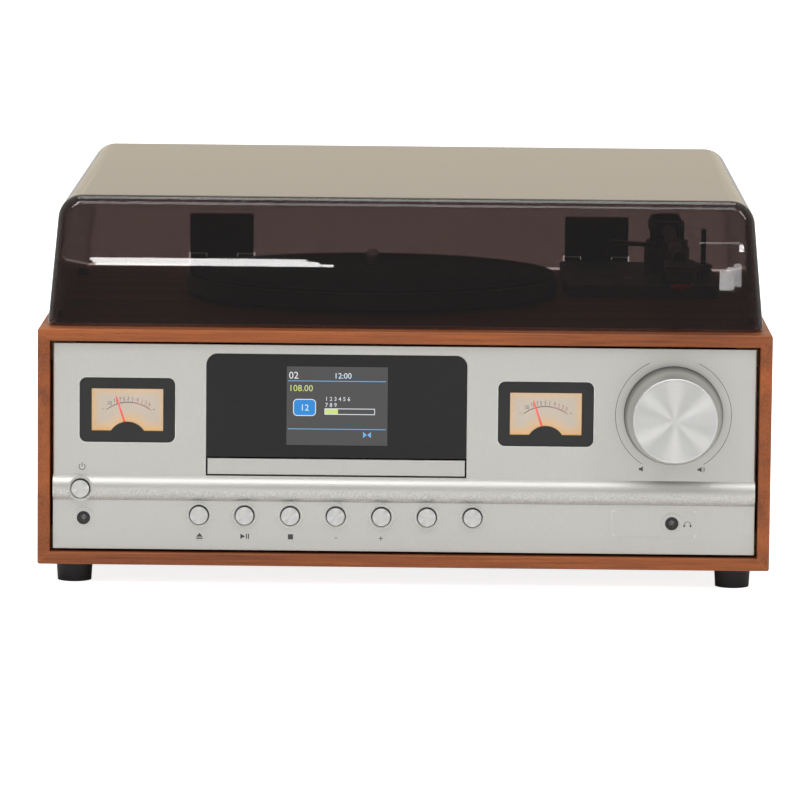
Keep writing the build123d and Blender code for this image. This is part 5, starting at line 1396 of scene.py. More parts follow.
@dataclass
class Fascia(SubAssembly):
    """The silver front with its proud lower rib, its printed signs and its sockets."""

    face: float = -169.5 * MM
    rib_bottom: float = 48.9 * MM
    rib_middle: float = 56.5 * MM
    plated_from: float = -164.8 * MM
    print_depth: float = 0.06 * MM
    knob_centre: Point = (154.0 * MM, 101.1 * MM)
    arc_radius: float = 33.2 * MM
    arc_width: float = 0.28 * MM
    arc_ends: Point = (25.0, 148.0)
    collar_rim: float = 6.75 * MM
    row_proud: float = 0.5 * MM
    power_proud: float = 4.0 * MM
    jack_rim: float = 5.9 * MM
    jacks_x: Point = (-183.8 * MM, 154.0 * MM)
    jacks_z: float = 38.5 * MM
    rim_depth: float = 0.3 * MM
    socket_frame_highlight: tuple[Point, Point] = ((119.3 * MM, 168.7 * MM), (30.0 * MM, 47.0 * MM))
    frame_corner: float = 2.0 * MM
    frame_width: float = 0.45 * MM
    eyelet_inset: float = 1.2 * MM
    eyelet_radius: float = 0.5 * MM
    eyelet_width: float = 0.3 * MM
    signs: tuple[tuple[Glyph, float, float], ...] = (
        (Glyph.POWER, -184.6, 68.1), (Glyph.EJECT, -117.1, 28.6), (Glyph.PLAY_PAUSE, -91.0, 28.6),
        (Glyph.STOP, -64.8, 28.6), (Glyph.MINUS, -38.7, 28.2), (Glyph.PLUS, -12.9, 28.2), (Glyph.QUIET, 135.9, 70.0),
        (Glyph.LOUD, 169.6, 70.0), (Glyph.HEADPHONES, 163.0, 38.2))

    def sign(self, sheet: Sheet, glyph: Glyph, x: float, z: float) -> None:
        """Draws one control sign.

        Args:
            sheet: the print that it goes into.
            glyph: which sign.
            x: its middle, in millimetres.
            z: its middle, in millimetres.
        """

        def shape(*points: Point) -> None:
            """Adds a shape whose corners are counted from the middle in millimetres."""
            sheet.outline([((x + across) * MM, (z + up) * MM) for across, up in points])

        def bar(left: float, right: float, low: float, high: float) -> None:
            """Adds a rectangle that is counted the same way."""
            shape((left, low), (right, low), (right, high), (left, high))

        middle = (x * MM, z * MM)
        if glyph is Glyph.POWER:
            sheet.arc(middle, 1.75 * MM, 0.4 * MM, 38, 322)
            bar(-0.2, 0.2, 0.2, 2.4)
        elif glyph is Glyph.EJECT:
            shape((-1.9, -0.5), (1.9, -0.5), (0.0, 1.8))
            bar(-1.9, 1.9, -1.7, -1.0)
        elif glyph is Glyph.PLAY_PAUSE:
            shape((-2.6, -1.5), (0.2, 0.0), (-2.6, 1.5))
            bar(0.6, 1.2, -1.5, 1.5)
            bar(1.8, 2.4, -1.5, 1.5)
        elif glyph is Glyph.STOP:
            bar(-1.5, 1.5, -1.5, 1.5)
        elif glyph is Glyph.MINUS:
            bar(-0.8, 0.8, -0.2, 0.2)
        elif glyph is Glyph.PLUS:
            sheet.plus(middle, 1.2 * MM, 0.4 * MM)
        elif glyph is Glyph.HEADPHONES:
            sheet.arc((middle[0], middle[1] - 0.3 * MM), 1.8 * MM, 0.3 * MM, -90, 90)
            bar(-2.3, -1.3, -1.6, -0.3)
            bar(1.3, 2.3, -1.6, -0.3)
        else:
            shape((-1.3, -0.6), (-0.5, -0.6), (1.0, -1.5), (1.0, 1.5), (-0.5, 0.6), (-1.3, 0.6))
            for reach in (1.6, 2.4) if glyph is Glyph.LOUD else ():
                sheet.arc((middle[0] + 0.3 * MM, middle[1]), reach * MM, 0.28 * MM, 50, 130)

    def trim_spots(self) -> list[Spot]:
        """Places of the bright rims round the buttons and the sockets.

        Returns:
            One spot for each rim.
        """
        buttons = ButtonRow()
        flat = (math.radians(90), 0.0, 0.0)
        collars = [(x, self.face - self.row_proud, buttons.height) for x in buttons.places.values()]
        collars.append((buttons.power[0], self.face - self.power_proud, buttons.power[1]))
        jacks = [(x, self.face, self.jacks_z) for x in self.jacks_x]
        return [Spot(place, flat, (radius, radius, self.rim_depth))
                for radius, places in ((self.collar_rim, collars), (self.jack_rim, jacks)) for place in places]

    def painted_frame_highlight(self) -> bpy.types.Mesh:
        """The painted highlight along the raised frame round the headphone socket: a pale line, with an eyelet inside
        each corner.

        Returns:
            The mesh.
        """
        sheet = Sheet(self.face - self.print_depth, self.print_depth)
        x, z = self.socket_frame_highlight
        sheet.frame_line(x, z, self.frame_corner, self.frame_width)
        inset = self.eyelet_inset
        for across in (x[0] + inset, x[1] - inset):
            for up in (z[0] + inset, z[1] - inset):
                sheet.arc((across, up), self.eyelet_radius, self.eyelet_width, 0, 360, 16)
        return sheet.mesh("socket_frame_highlight")

    def build(self) -> None:
        """Dresses the fascia and its sockets, and prints its signs."""
        self.dress(SilverLacquer("fascia_silver", band=(self.rib_bottom, self.rib_middle)), "fascia")
        self.dress(PlatedFront("jack_finish", self.plated_from), "front_jacks")
        sheet = Sheet(self.face - self.print_depth, self.print_depth)
        for glyph, x, z in self.signs:
            self.sign(sheet, glyph, x, z)
        for side in (1, -1):
            first, last = self.arc_ends
            sheet.arc(self.knob_centre, self.arc_radius, self.arc_width, side * first, side * last)
        # Painted highlight: the pale line stands in for the lit edge of the raised frame round the headphone socket.
        self.add(link_object("socket_frame_highlight", self.painted_frame_highlight()), Ink("frame_painted_highlight", tone(236, 236, 232)),
                 "cabinet", "silver_paint")
        self.add(link_object("printed_signs", sheet.mesh("printed_signs")), Ink("print_dark", tone(58, 58, 60)),
                 "cabinet", "black_plastic")
        rims = repeated("trim_rims", Form.RING, self.trim_spots(),
                        Metal("rim_bright", tone(208, 207, 202), shiny=0.25))
        self.add(rims, None, "cabinet", "silver_paint")


@dataclass(frozen=True)
class Words:
    """Figures on the screen: what they read, their place, their height and how they are set."""

    text: str
    place: Point
    height: float
    align: Align = Align.LEFT


@dataclass
class Display(SubAssembly):
    """The gloss window and the colour screen, which shows plain figures."""

    face: float = -169.5 * MM
    depth: float = 0.03 * MM
    picture_x: Point = (-67.5 * MM, -9.7 * MM)
    picture_z: Point = (81.9 * MM, 127.2 * MM)
    bar_x: Point = (-45.8 * MM, -16.9 * MM)
    bar_z: Point = (99.6 * MM, 103.2 * MM)
    bar_corner: float = 0.3 * MM
    bar_line: float = 0.4 * MM
    bar_filled_to: float = -38.1 * MM
    badge_x: Point = (-63.8 * MM, -50.7 * MM)
    badge_z: Point = (98.7 * MM, 108.5 * MM)
    badge_corner: float = 2.4 * MM
    badge_line: float = 0.45 * MM
    rule_x: Point = (-66.8 * MM, -10.6 * MM)
    rules_z: Point = (118.9 * MM, 91.2 * MM)
    rule_half: float = 0.2 * MM
    arrows: tuple[Point, Point] = ((-21.5 * MM, -23.6 * MM), (-21.2 * MM, -19.1 * MM))
    arrow_z: Place = (86.3 * MM, 88.0 * MM, 89.8 * MM)
    white_words: tuple[Words, ...] = (
        Words("02", (-66.4 * MM, 122.2 * MM), 4.0 * MM),
        Words("12:00", (-35.4 * MM, 122.1 * MM), 3.2 * MM, Align.MIDDLE),
        Words("1 2 3 4 5 6", (-45.5 * MM, 108.7 * MM), 2.3 * MM), Words("7 8 9", (-45.5 * MM, 105.2 * MM), 2.3 * MM),
        Words("12", (-57.2 * MM, 103.6 * MM), 3.6 * MM, Align.MIDDLE))
    lime_words: tuple[Words, ...] = (Words("108.00", (-66.4 * MM, 114.8 * MM), 3.6 * MM),)

    def layer(self, name: str, glow: Glow, draw: Callable[[Sheet], None], level: int,
              words: Sequence[Words] = ()) -> None:
        """Adds one colour of the picture.

        Args:
            name: the piece's name.
            glow: its finish.
            draw: draws the shapes into a sheet.
            level: how many layers it stands in front.
            words: what is written.
        """
        face = self.face - level * self.depth
        sheet = Sheet(face, self.depth * 0.9)
        draw(sheet)
        meshes = [sheet.mesh(name)]
        meshes.extend(lettering(item.text, item.place, face, item.height, item.align) for item in words)
        self.add(link_object(name, joined(name, meshes)), glow, "cabinet", "screen")

    def ground(self, sheet: Sheet) -> None:
        """Draws the lit ground."""
        sheet.box(self.picture_x, self.picture_z)

    def white(self, sheet: Sheet) -> None:
        """Draws the outlines of the level bar and the badge."""
        sheet.frame_line(self.bar_x, self.bar_z, self.bar_corner, self.bar_line)
        sheet.frame_line(self.badge_x, self.badge_z, self.badge_corner, self.badge_line)

    def blue(self, sheet: Sheet) -> None:
        """Draws the two rules across the screen and the two small arrows.

        Args:
            sheet: the layer.
        """
        for z in self.rules_z:
            sheet.box(self.rule_x, (z - self.rule_half, z + self.rule_half))
        low, middle, high = self.arrow_z
        for tip, base in self.arrows:
            corners = [(base, low), (tip, middle), (base, high)]
            sheet.outline(corners if tip > base else list(reversed(corners)))

    def badge(self, sheet: Sheet) -> None:
        """Draws the badge."""
        sheet.outline(rounded(self.badge_x, self.badge_z, self.badge_corner))

    def level_bar(self, sheet: Sheet) -> None:
        """Draws the filled part of the level bar."""
        line = self.bar_line
        sheet.box((self.bar_x[0] + line, self.bar_filled_to), (self.bar_z[0] + line, self.bar_z[1] - line))

    def build(self) -> None:
        """Dresses the window and lights the screen."""
        self.dress(GlossPanel("window_gloss"), "display_window")
        self.dress(GlossPanel("screen_glass", tone(40, 40, 41)), "display_module")
        self.layer("screen_ground", Glow("lit_ground", tone(78, 77, 77)), self.ground, 1)
        self.layer("screen_white", Glow("lit_white", tone(225, 232, 240)), self.white, 3, self.white_words)
        self.layer("screen_sky", Glow("lit_sky", tone(122, 178, 226)), self.blue, 2)
        self.layer("screen_badge", Glow("lit_badge", tone(44, 138, 214)), self.badge, 2)
        self.layer("screen_lime", Glow("lit_lime", tone(206, 222, 130)), self.level_bar, 2, self.lime_words)


@dataclass
class LevelMeters(SubAssembly):
    """The two lit needle meters with their printed scales."""

    centres: Point = (-158.76 * MM, 80.98 * MM)
    middle_z: float = 101.1 * MM
    dial: float = -157.5 * MM
    dial_z: float = 101.5 * MM
    dial_half: Point = (20.5 * MM, 13.6 * MM)
    hub_z: float = 82.1 * MM
    hub_radius: float = 11.7 * MM
    halo: float = 6.0 * MM
    ink: float = 0.06 * MM
    scale_z: float = 83.4 * MM
    scale_radius: float = 20.6 * MM
    scale_width: float = 0.42 * MM
    scale_end: float = 38.0
    red_from: float = 9.0
    numerals: tuple[tuple[str, float], ...] = (
        ("20", -28.0), ("10", -18.5), ("7", -12.0), ("5", -6.5), ("3", -0.5), ("1", 6.0), ("0", 13.5), ("1", 20.0),
        ("2", 26.0), ("3", 31.5))
    numeral_beyond: float = 2.4 * MM
    numeral_height: float = 2.0 * MM
    tick_width: float = 0.24 * MM
    tick_long: float = 1.3 * MM
    tick_short: float = 0.7 * MM
    sign_place: Point = (14.6 * MM, 100.2 * MM)
    sign_reach: float = 0.6 * MM
    sign_width: float = 0.24 * MM
    rest_angle: float = 18.7
    pivot_z: float = 86.9 * MM
    blade_face: float = -160.5 * MM
    blade_depth: float = 0.15 * MM
    blade_from: Point = (6.0 * MM, 0.65 * MM)
    blade_to: Point = (21.5 * MM, 0.5 * MM)
    bezel_face: float = -169.62 * MM
    bezel_depth: float = 0.12 * MM
    bezel_half: Point = (27.85 * MM, 19.15 * MM)
    bezel_corner: float = 4.4 * MM
    bezel_line: float = 0.4 * MM

    def on_scale(self, centre: float, angle: float, beyond: float) -> Point:
        """A point in (x, z) outside the scale's line, at an angle in degrees clockwise from upright."""
        reach, turn = self.scale_radius + beyond, math.radians(angle)
        return (centre + reach * math.sin(turn), self.scale_z + reach * math.cos(turn))

    def ticks(self, centre: float, red: bool) -> list[Spot]:
        """Places of the scale's ticks: long at each numeral, short between two.

        Args:
            centre: the meter's middle along X.
            red: the ticks of the upper part of the scale.

        Returns:
            One spot for each tick.
        """
        angles = [angle for _, angle in self.numerals]
        lengths = [(angle, self.tick_long) for angle in angles]
        lengths += [((angle + following) / 2, self.tick_short) for angle, following in zip(angles, angles[1:])]
        spots = []
        for angle, length in sorted(lengths):
            if (angle > self.red_from) is red:
                x, z = self.on_scale(centre, angle, length / 2)
                spots.append(Spot((x, self.dial - self.ink / 2, z), (0.0, math.radians(angle), 0.0),
                                  (self.tick_width, self.ink, length)))
        return spots

    def scale(self, name: str, finish: Ink, red: bool) -> None:
        """Prints one colour of both scales.

        Args:
            name: stem of the pieces' names.
            finish: its ink.
            red: the upper part of the scale.
        """
        face = self.dial - self.ink
        sheet = Sheet(face, self.ink)
        meshes = []
        spots = []
        ends = (self.red_from, self.scale_end) if red else (-self.scale_end, self.red_from)
        for centre in self.centres:
            sheet.arc((centre, self.scale_z), self.scale_radius, self.scale_width, *ends)
            spots.extend(self.ticks(centre, red))
            for figures, angle in self.numerals:
                if (angle > self.red_from) is red:
                    at = self.on_scale(centre, angle, self.numeral_beyond)
                    meshes.append(lettering(figures, at, face, self.numeral_height))
            aside, up = self.sign_place
            if red:
                sheet.plus((centre + aside, up), self.sign_reach, self.sign_width)
            else:
                sheet.box((centre - aside - self.sign_reach, centre - aside + self.sign_reach),
                          (up - self.sign_width / 2, up + self.sign_width / 2))
        meshes.append(sheet.mesh(name))
        self.add(link_object(f"{name}_scale", joined(name, meshes)), finish, "cabinet", "dial_card")
        ticks = repeated(f"{name}_ticks", Form.BAR, spots, Ink(f"{name}_tick_ink", finish.colour))
        self.add(ticks, None, "cabinet", "dial_card")

    def blades(self) -> None:
        """Builds the blade of each needle, with a painted glow: it gives off light though it is no lamp."""
        glow = Glow("blade_painted_glow", tone(255, 74, 44), pitch=0.01).material()
        lean = math.radians(self.rest_angle)
        along, across = (-math.sin(lean), math.cos(lean)), (math.cos(lean), math.sin(lean))
        (near, wide), (far, slim) = self.blade_from, self.blade_to
        for name, centre in zip(("left", "right"), self.centres):
            sheet = Sheet(self.blade_face, self.blade_depth)
            sheet.outline([(centre + reach * along[0] + side * across[0],
                            self.pivot_z + reach * along[1] + side * across[1])
                           for reach, side in ((near, wide), (far, slim), (far, -slim), (near, -wide))])
            self.add(link_object(f"needle_blade_{name}", sheet.mesh("needle_blade")), glow, f"vu_needle_{name}",
                     "needle_red")

    def bezels(self) -> None:
        """Builds the bright line round each bezel."""
        sheet = Sheet(self.bezel_face, self.bezel_depth)
        half_x, half_z = self.bezel_half
        for centre in self.centres:
            sheet.frame_line((centre - half_x, centre + half_x), (self.middle_z - half_z, self.middle_z + half_z),
                             self.bezel_corner, self.bezel_line)
        rim = Metal("bezel_rim_bright", tone(226, 226, 222), shiny=0.25)
        self.add(link_object("bezel_rims", sheet.mesh("bezel_rims")), rim, "cabinet", "silver_paint")

    def build(self) -> None:
        """Dresses both meters, prints their scales and rims their bezels."""
        self.dress(Moulding("meter_case", tone(22, 22, 22), shiny=0.4), "vu_cases")
        self.dress(LitDial("dial_lit", self.centres, self.dial_z, *self.dial_half, self.hub_z, self.hub_radius,
                           self.halo), "vu_dials")
        self.dress(ClearAcrylic("lens_clear", tone(250, 250, 250)), "vu_lenses")
        # Painted glow: the needles give off light though they are no lamps.
        self.dress(Glow("needle_painted_glow", tone(255, 70, 40), pitch=0.01), "vu_needle_left", "vu_needle_right")
        self.blades()
        self.scale("dial_black", Ink("dial_ink_black", tone(16, 10, 8)), red=False)
        self.scale("dial_red", Ink("dial_ink_red", tone(160, 14, 8)), red=True)
        self.bezels()


@dataclass
class ButtonRow(SubAssembly):
    """Seven round buttons in a row and the power button."""

    height: float = 40.8 * MM
    places: dict[str, float] = field(default_factory=lambda: {
        "eject": -117.4 * MM, "play": -91.23 * MM, "stop": -65.06 * MM, "tune_down": -38.89 * MM,
        "tune_up": -12.72 * MM, "menu": 13.45 * MM, "source": 39.62 * MM})
    power: Point = (-185.3 * MM, 56.0 * MM)
    face: float = -172.4 * MM
    # radii of the painted dark reflection band round each button's foot
    rim: Point = (4.95 * MM, 5.45 * MM)

    def build(self) -> None:
        """Dresses the buttons."""
        for name, x in self.places.items():
            self.dress(SpunMetal(f"spun_{name}", (x, self.face, self.height), foot=self.rim), f"button_{name}")
        self.dress(SpunMetal("spun_power", (self.power[0], self.face, self.power[1]), foot=self.rim), "button_power")


@dataclass
class VolumeKnob(SubAssembly):
    """The large turned knob and its encoder."""

    centre: Place = (154.01 * MM, -195.5 * MM, 101.1 * MM)
    # radii of the painted dark reflection band round the knob's foot
    rim: Point = (26.4 * MM, 28.3 * MM)

    def build(self) -> None:
        """Dresses the knob."""
        self.dress(SpunMetal("knob_metal", self.centre, foot=self.rim), "volume_knob")
        self.dress(Metal("shaft_steel", tone(190, 190, 188)), "encoder_shaft")
        self.dress(Moulding("encoder_plastic", tone(110, 112, 114)), "encoder_body")


@dataclass
class DiscDrawer(SubAssembly):
    """The disc drawer and its drive."""

    def build(self) -> None:
        """Dresses the drawer and its drive."""
        # The drawer's edges get the full lightening: painted highlights along its top and bottom edges, on top of their
        # wear.
        self.dress(SilverLacquer("drawer_silver", tone(195, 194, 189), shiny=0.34, wear_and_highlight_reach=0.8 * MM,
                                 wear_and_highlight_share=1.0), "tray_front")
        self.dress(Moulding("tray_black", tone(30, 30, 31)), "disc_tray", "disc_hub")
        self.dress(Moulding("chassis_grey", tone(120, 122, 124)), "disc_chassis", "laser_sled")
        self.dress(Moulding("gear_white", tone(226, 224, 216)), "tray_gear")


@dataclass
class SideSpeakers(SubAssembly):
    """The speaker in each side with its grille and its cloth."""

    depth: float = 207.3 * MM
    centre: Point = (71.5 * MM, 80.0 * MM)
    radius: float = 30.0 * MM
    pitch: float = 1.2 * MM
    thread: float = 0.35 * MM
    unevenness: float = 0.04

    def threads(self) -> list[Spot]:
        """Places of the woven threads behind both grilles.

        Returns:
            One spot for each thread.
        """
        spots = []
        count = int(self.radius / self.pitch)
        for side in (-1, 1):
            for number in range(-count, count + 1):
                offset = number * self.pitch
                length = 2 * math.sqrt(max(self.radius ** 2 - offset ** 2, 0.0)) + self.thread
                x = side * self.depth
                spots.append(Spot((x, self.centre[0] + offset, self.centre[1]), (0.0, 0.0, 0.0),
                                  (self.thread, self.thread, length)))
                spots.append(Spot((x, self.centre[0], self.centre[1] + offset), (0.0, 0.0, 0.0),
                                  (self.thread, length, self.thread)))
        return spots

    def build(self) -> None:
        """Dresses the speakers."""
        self.dress(Moulding("driver_black", tone(34, 34, 35), shiny=0.6), "speaker_drivers")
        self.dress(Moulding("grille_black", tone(28, 28, 29), shiny=0.5), "speaker_grilles")
        weave = repeated("grille_cloth", Form.BAR, self.threads(),
                         Moulding("cloth_black", tone(20, 20, 21), shiny=0.85), variation=self.unevenness)
        self.add(weave, None, "cabinet", "black_plastic")


@dataclass
class RearPanel(SubAssembly):
    """The hardboard back with its sockets and the boards inside."""

    plated_from: float = 180.0 * MM
    phono_x: float = -130.2 * MM
    phono_rings: tuple[tuple[str, float, Colour], ...] = (
        ("lower", 55.0 * MM, tone(196, 34, 34)), ("upper", 69.0 * MM, tone(232, 230, 224)))
    ring_profile: tuple[Point, ...] = (
        (4.35 * MM, 0.0), (5.4 * MM, 0.0), (5.4 * MM, 0.8 * MM), (5.1 * MM, 1.1 * MM), (4.35 * MM, 1.1 * MM))
    back: float = 178.5 * MM
    label_depth: float = 0.12 * MM
    label_x: Point = (-75.0 * MM, -5.0 * MM)
    label_z: Point = (42.0 * MM, 84.0 * MM)
    label_corner: float = 3.0 * MM

    def build(self) -> None:
        """Dresses the back and what is inside."""
        self.dress(RawBoard("back_hardboard", tone(86, 62, 44), tone(62, 43, 30), fibre=2.5), "rear_panel")
        self.dress(PlatedFront("rear_socket_finish", self.plated_from), "rear_sockets")
        for name, z, colour in self.phono_rings:
            mesh = turned_mesh(f"phono_ring_{name}", self.ring_profile,
                               Vector((self.phono_x, self.plated_from, z)), Axis.ALONG_Y)
            self.add(link_object(f"phono_ring_{name}", mesh), Moulding(f"phono_{name}_plastic", colour, shiny=0.35),
                     "cabinet", "black_plastic")
        label = Sheet(self.back, self.label_depth)
        label.outline(rounded(self.label_x, self.label_z, self.label_corner))
        self.add(link_object("blank_label", label.mesh("blank_label")),
                 Metal("label_foil", tone(176, 176, 174), shiny=0.4), "cabinet", "silver_paint")
        self.dress(Circuitry("board_green"), "control_board", "main_board")
        self.dress(Metal("screw_steel", tone(176, 176, 174)), "case_screws")


@dataclass
class RecordDeck(SubAssembly):
    """The platter with its mat, spindle and belt drive."""

    centre: Point = (-21.5 * MM, 22.5 * MM)
    mat_radius: float = 110.0 * MM
    mat_hole: float = 3.6 * MM
    mat_bottom: float = 160.7 * MM
    mat_top: float = 162.7 * MM
    groove_pitch: float = 2.5 * MM
    groove_depth: float = 0.5 * MM
    mat_rows: int = 260
    mat_sides: int = 145

    def mat(self) -> None:
        """Builds the grooved mat in place of the plain one."""
        mesh = bpy.data.meshes.new("grooved_mat")
        rubber = Moulding("mat_rubber", tone(34, 34, 34), shiny=0.75)
        piece = grown("grooved_mat", Growth.grooved_disc(), mesh, Finish=rubber.material(), Radius=self.mat_radius,
                      Hole=self.mat_hole, Bottom=self.mat_bottom, Top=self.mat_top, Pitch=self.groove_pitch,
                      Depth=self.groove_depth, Rows=self.mat_rows, Sides=self.mat_sides,
                      Centre=(self.centre[0], self.centre[1], 0.0))
        self.add(piece, None, "platter", "rubber")
        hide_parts("platter_mat")

    def build(self) -> None:
        """Dresses the deck."""
        self.dress(Moulding("platter_black", tone(38, 38, 39), shiny=0.35), "platter")
        self.mat()
        self.dress(Moulding("belt_rubber", tone(26, 26, 26), shiny=0.6), "drive_belt")
        self.dress(SpunMetal("spindle_steel", (self.centre[0], self.centre[1], 0.0), Axis.ALONG_Z,
                             colour=tone(236, 235, 231), shiny=0.2), "spindle")
        self.dress(Metal("motor_steel", tone(160, 160, 158)), "drive_motor")
        self.dress(Metal("turned_brass", tone(206, 170, 96), shiny=0.3), "platter_bearing", "motor_pulley")


@dataclass
class Tonearm(SubAssembly):
    """The arm, its pod, its cueing and the speed switch."""

    def build(self) -> None:
        """Dresses the arm and its pod."""
        self.dress(Moulding("pod_grey", tone(74, 75, 78), shiny=0.4), "tonearm_base")
        self.dress(Moulding("arm_black", tone(30, 30, 31), shiny=0.35), "tonearm_gimbal", "tonearm", "arm_lifter",
                   "cue_lever")
        self.dress(Moulding("cartridge_black", tone(22, 22, 23), shiny=0.2), "cartridge")
        self.dress(Moulding("stylus_red", tone(226, 26, 34), shiny=0.3), "stylus")
        self.dress(Moulding("switch_grey", tone(150, 150, 150)), "speed_switch")


@dataclass
class DustCover(SubAssembly):
    """The smoked cover and its two hinges."""

    wall: float = 2.6 * MM

    def build(self) -> None:
        """Dresses the cover."""
        self.dress(ClearAcrylic("cover_smoked", tone(126, 112, 109), wall=self.wall), "dust_cover")
        self.dress(Moulding("hinge_black", tone(24, 24, 25)), "hinge_bases", "hinge_leaves")


@dataclass
class Aerial(SubAssembly):
    """The telescopic aerial on the back."""

    def build(self) -> None:
        """Dresses the aerial."""
        self.dress(Moulding("aerial_black", tone(28, 28, 29)), "aerial_base")
        self.dress(Metal("aerial_chrome", tone(222, 222, 220), shiny=0.12), "aerial_tube", "aerial_rod")


# ---------------------------------------------------------------- the studio
@dataclass(frozen=True)
class Lamp:
    """A soft light: where it hangs, its width and height, and its power in watts."""

    name: str
    place: Place
    size: Point
    power: float


@dataclass(frozen=True)
class Strip:
    """A small lit strip that the cover mirrors: its middle, its size and how bright its face is."""

    x: float
    z: float
    width: float
    height: float
    glare: float


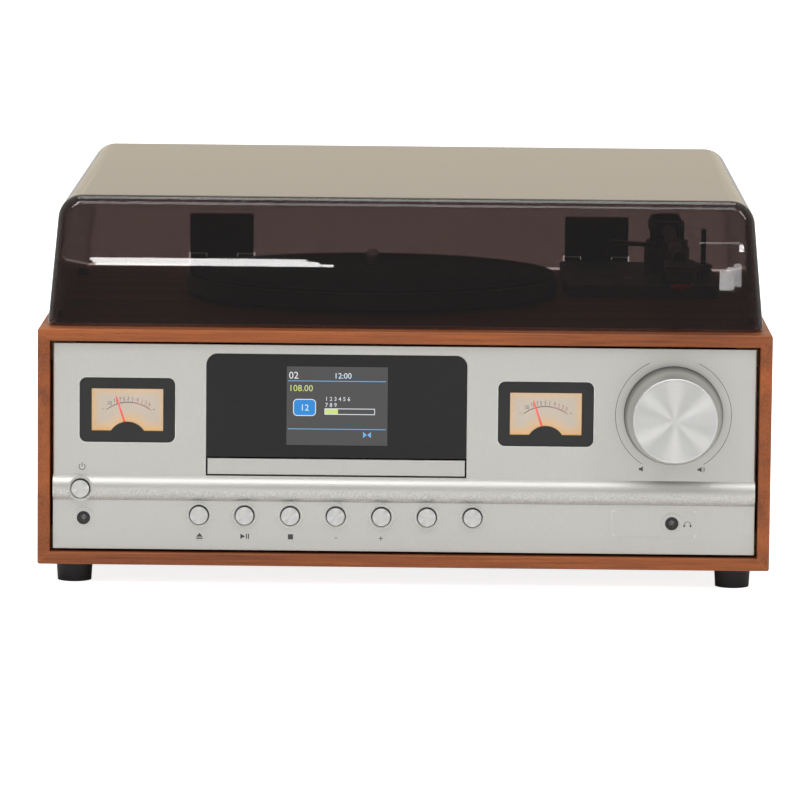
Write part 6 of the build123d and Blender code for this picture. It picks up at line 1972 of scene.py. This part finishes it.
@dataclass
class Studio:
    """White floor, soft lights and the camera."""

    floor_half: float = 60.0
    lift: float = 0.85
    mirrored: float = 0.08
    diffuse: float = 0.56
    glossy_back: float = 0.78
    glossy_front: float = 0.30
    warm: Colour = tone(255, 243, 222)
    lamps: tuple[Lamp, ...] = (
        Lamp("key_light", (-0.1, -1.5, 2.3), (2.0, 0.9), 19.0),
        Lamp("left_light", (-0.9, -1.6, 1.75), (0.45, 1.2), 12.0),
        Lamp("right_light", (1.5, -1.6, 1.56), (0.45, 1.2), 12.0),
        Lamp("top_light", (0.0, 0.6, 2.4), (1.6, 1.2), 17.0))
    lamp_target: Place = (0.0, 0.0, 0.1)
    strip_y: float = -3.0
    strips: tuple[Strip, ...] = (
        Strip(-0.2427, 0.4047, 0.2359, 0.0027, 19.0), Strip(-0.2345, 0.4020, 0.2470, 0.0027, 19.0),
        Strip(-0.2252, 0.3993, 0.2595, 0.0027, 19.0), Strip(0.3296, 0.3874, 0.0079, 0.0208, 8.5),
        Strip(0.3375, 0.3895, 0.0079, 0.0250, 8.0), Strip(0.3454, 0.3936, 0.0079, 0.0250, 6.0),
        Strip(0.350, 0.423, 0.006, 0.008, 20.0), Strip(0.326, 0.4285, 0.045, 0.002, 3.0))
    eye: Place = (0.01809, -3.29308, 0.50806)
    turns: Place = (-7.29, -0.54, 0.38)
    focal_pixels: float = 5501.0
    picture_pixels: float = 800.0
    sensor: float = 36.0
    sight: float = 300.0

    def floor(self) -> None:
        """Builds the floor, white where it is seen and plain to everything else."""
        half = self.floor_half
        mesh = bpy.data.meshes.new("studio_floor")
        mesh.from_pydata([(-half, -half, 0), (half, -half, 0), (half, half, 0), (-half, half, 0)], [], [(0, 1, 2, 3)])
        piece = link_object("studio_floor", mesh)
        shade = Shade("floor_white")
        path = put(shade.tree, "ShaderNodeLightPath")
        seen = math_node(shade.tree, "MAXIMUM", path.outputs["Is Camera Ray"], path.outputs["Is Transmission Ray"])
        mirrored = math_node(shade.tree, "MULTIPLY", path.outputs["Is Glossy Ray"], self.mirrored)
        strength = math_node(shade.tree, "MULTIPLY", math_node(shade.tree, "MAXIMUM", seen, mirrored), self.lift)
        shade.fill(Base_Color=tone(238, 238, 238), Roughness=0.9, Specular_IOR_Level=0.0, Emission_Color=WHITE,
                   Emission_Strength=strength)
        mesh.materials.append(shade.material)
        piece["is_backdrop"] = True

    def world(self) -> None:
        """Builds the surroundings: white where seen, soft grey for light."""
        world = bpy.data.worlds.new("studio")
        world.use_nodes = True
        tree = world.node_tree
        tree.nodes.clear()
        path = put(tree, "ShaderNodeLightPath")
        direction = put(tree, "ShaderNodeTexCoord").outputs["Generated"]
        axes = put(tree, "ShaderNodeSeparateXYZ", {0: direction})
        mirrored = ramp(tree, axes.outputs["Y"], 0.2, -0.2, self.glossy_back, self.glossy_front)
        seen = math_node(tree, "MAXIMUM", path.outputs["Is Camera Ray"], path.outputs["Is Transmission Ray"])
        diffuse = ramp(tree, path.outputs["Is Diffuse Ray"], 0.0, 1.0, 0.0, self.diffuse)
        glossy = math_node(tree, "MULTIPLY", mirrored, math_node(tree, "SUBTRACT", 1.0, path.outputs["Is Diffuse Ray"]))
        lit = math_node(tree, "ADD", diffuse, glossy)
        strength = math_node(tree, "MAXIMUM", seen, lit)
        share = math_node(tree, "MULTIPLY", math_node(tree, "SUBTRACT", 1.0, seen),
                          ramp(tree, axes.outputs["Y"], 0.2, 0.9))
        colour = blend_colours(tree, share, WHITE, self.warm)
        back = put(tree, "ShaderNodeBackground", {"Color": colour, "Strength": strength})
        put(tree, "ShaderNodeOutputWorld", {"Surface": back.outputs[0]})
        bpy.context.scene.world = world

    def panel(self, name: str, place: Sequence[float], target: Sequence[float], size: Point, power: float) -> None:
        """Hangs a soft light.

        Args:
            name: its name.
            place: where it hangs.
            target: the point that it faces.
            size: width and height.
            power: in watts.
        """
        light = bpy.data.lights.new(name, "AREA")
        light.shape = "RECTANGLE"
        light.size, light.size_y = size
        light.energy = power
        holder = bpy.data.objects.new(name, light)
        holder.location = place
        holder.rotation_euler = (Vector(target) - Vector(place)).to_track_quat("-Z", "Y").to_euler()
        bpy.context.scene.collection.objects.link(holder)

    def camera(self) -> None:
        """Sets the camera."""
        lens = bpy.data.cameras.new("camera")
        lens.sensor_width = self.sensor
        lens.lens = self.focal_pixels / self.picture_pixels * self.sensor
        lens.clip_end = self.sight
        turn_x, turn_y, turn_z = (math.radians(value) for value in self.turns)
        turn = Matrix.Rotation(turn_z, 4, "Z") @ Matrix.Rotation(turn_x, 4, "X") @ Matrix.Rotation(turn_y, 4, "Y")
        holder = bpy.data.objects.new("camera", lens)
        holder.matrix_world = Matrix.Translation(self.eye) @ turn @ Matrix.Rotation(math.radians(90), 4, "X")
        bpy.context.scene.collection.objects.link(holder)
        bpy.context.scene.camera = holder

    def build(self) -> None:
        """Builds the whole studio."""
        self.floor()
        self.world()
        for lamp in self.lamps:
            self.panel(lamp.name, lamp.place, self.lamp_target, lamp.size, lamp.power)
        for number, strip in enumerate(self.strips):
            self.panel(f"strip_light_{number}", (strip.x, self.strip_y, strip.z), (strip.x, 0.0, strip.z),
                       (strip.width, strip.height), strip.glare * math.pi * strip.width * strip.height)
        self.camera()
        bpy.context.scene.view_settings.view_transform = "Standard"


def corners() -> list[list[float]]:
    """The lowest and the highest corner of the model as it is now."""
    low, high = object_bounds()
    return [list(low), list(high)]


def main() -> None:
    """Builds every group and the studio."""
    logging.basicConfig(level=logging.INFO, format="%(name)s %(message)s")
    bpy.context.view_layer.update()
    groups = (Cabinet(), Fascia(), Display(), LevelMeters(), ButtonRow(), VolumeKnob(), DiscDrawer(), SideSpeakers(),
              RearPanel(), RecordDeck(), Tonearm(), DustCover(), Aerial())
    for group in groups:
        group.build()
        LOG.info("finished %s", type(group).__name__)
    Studio().build()


if __name__ == "__main__":
    main()
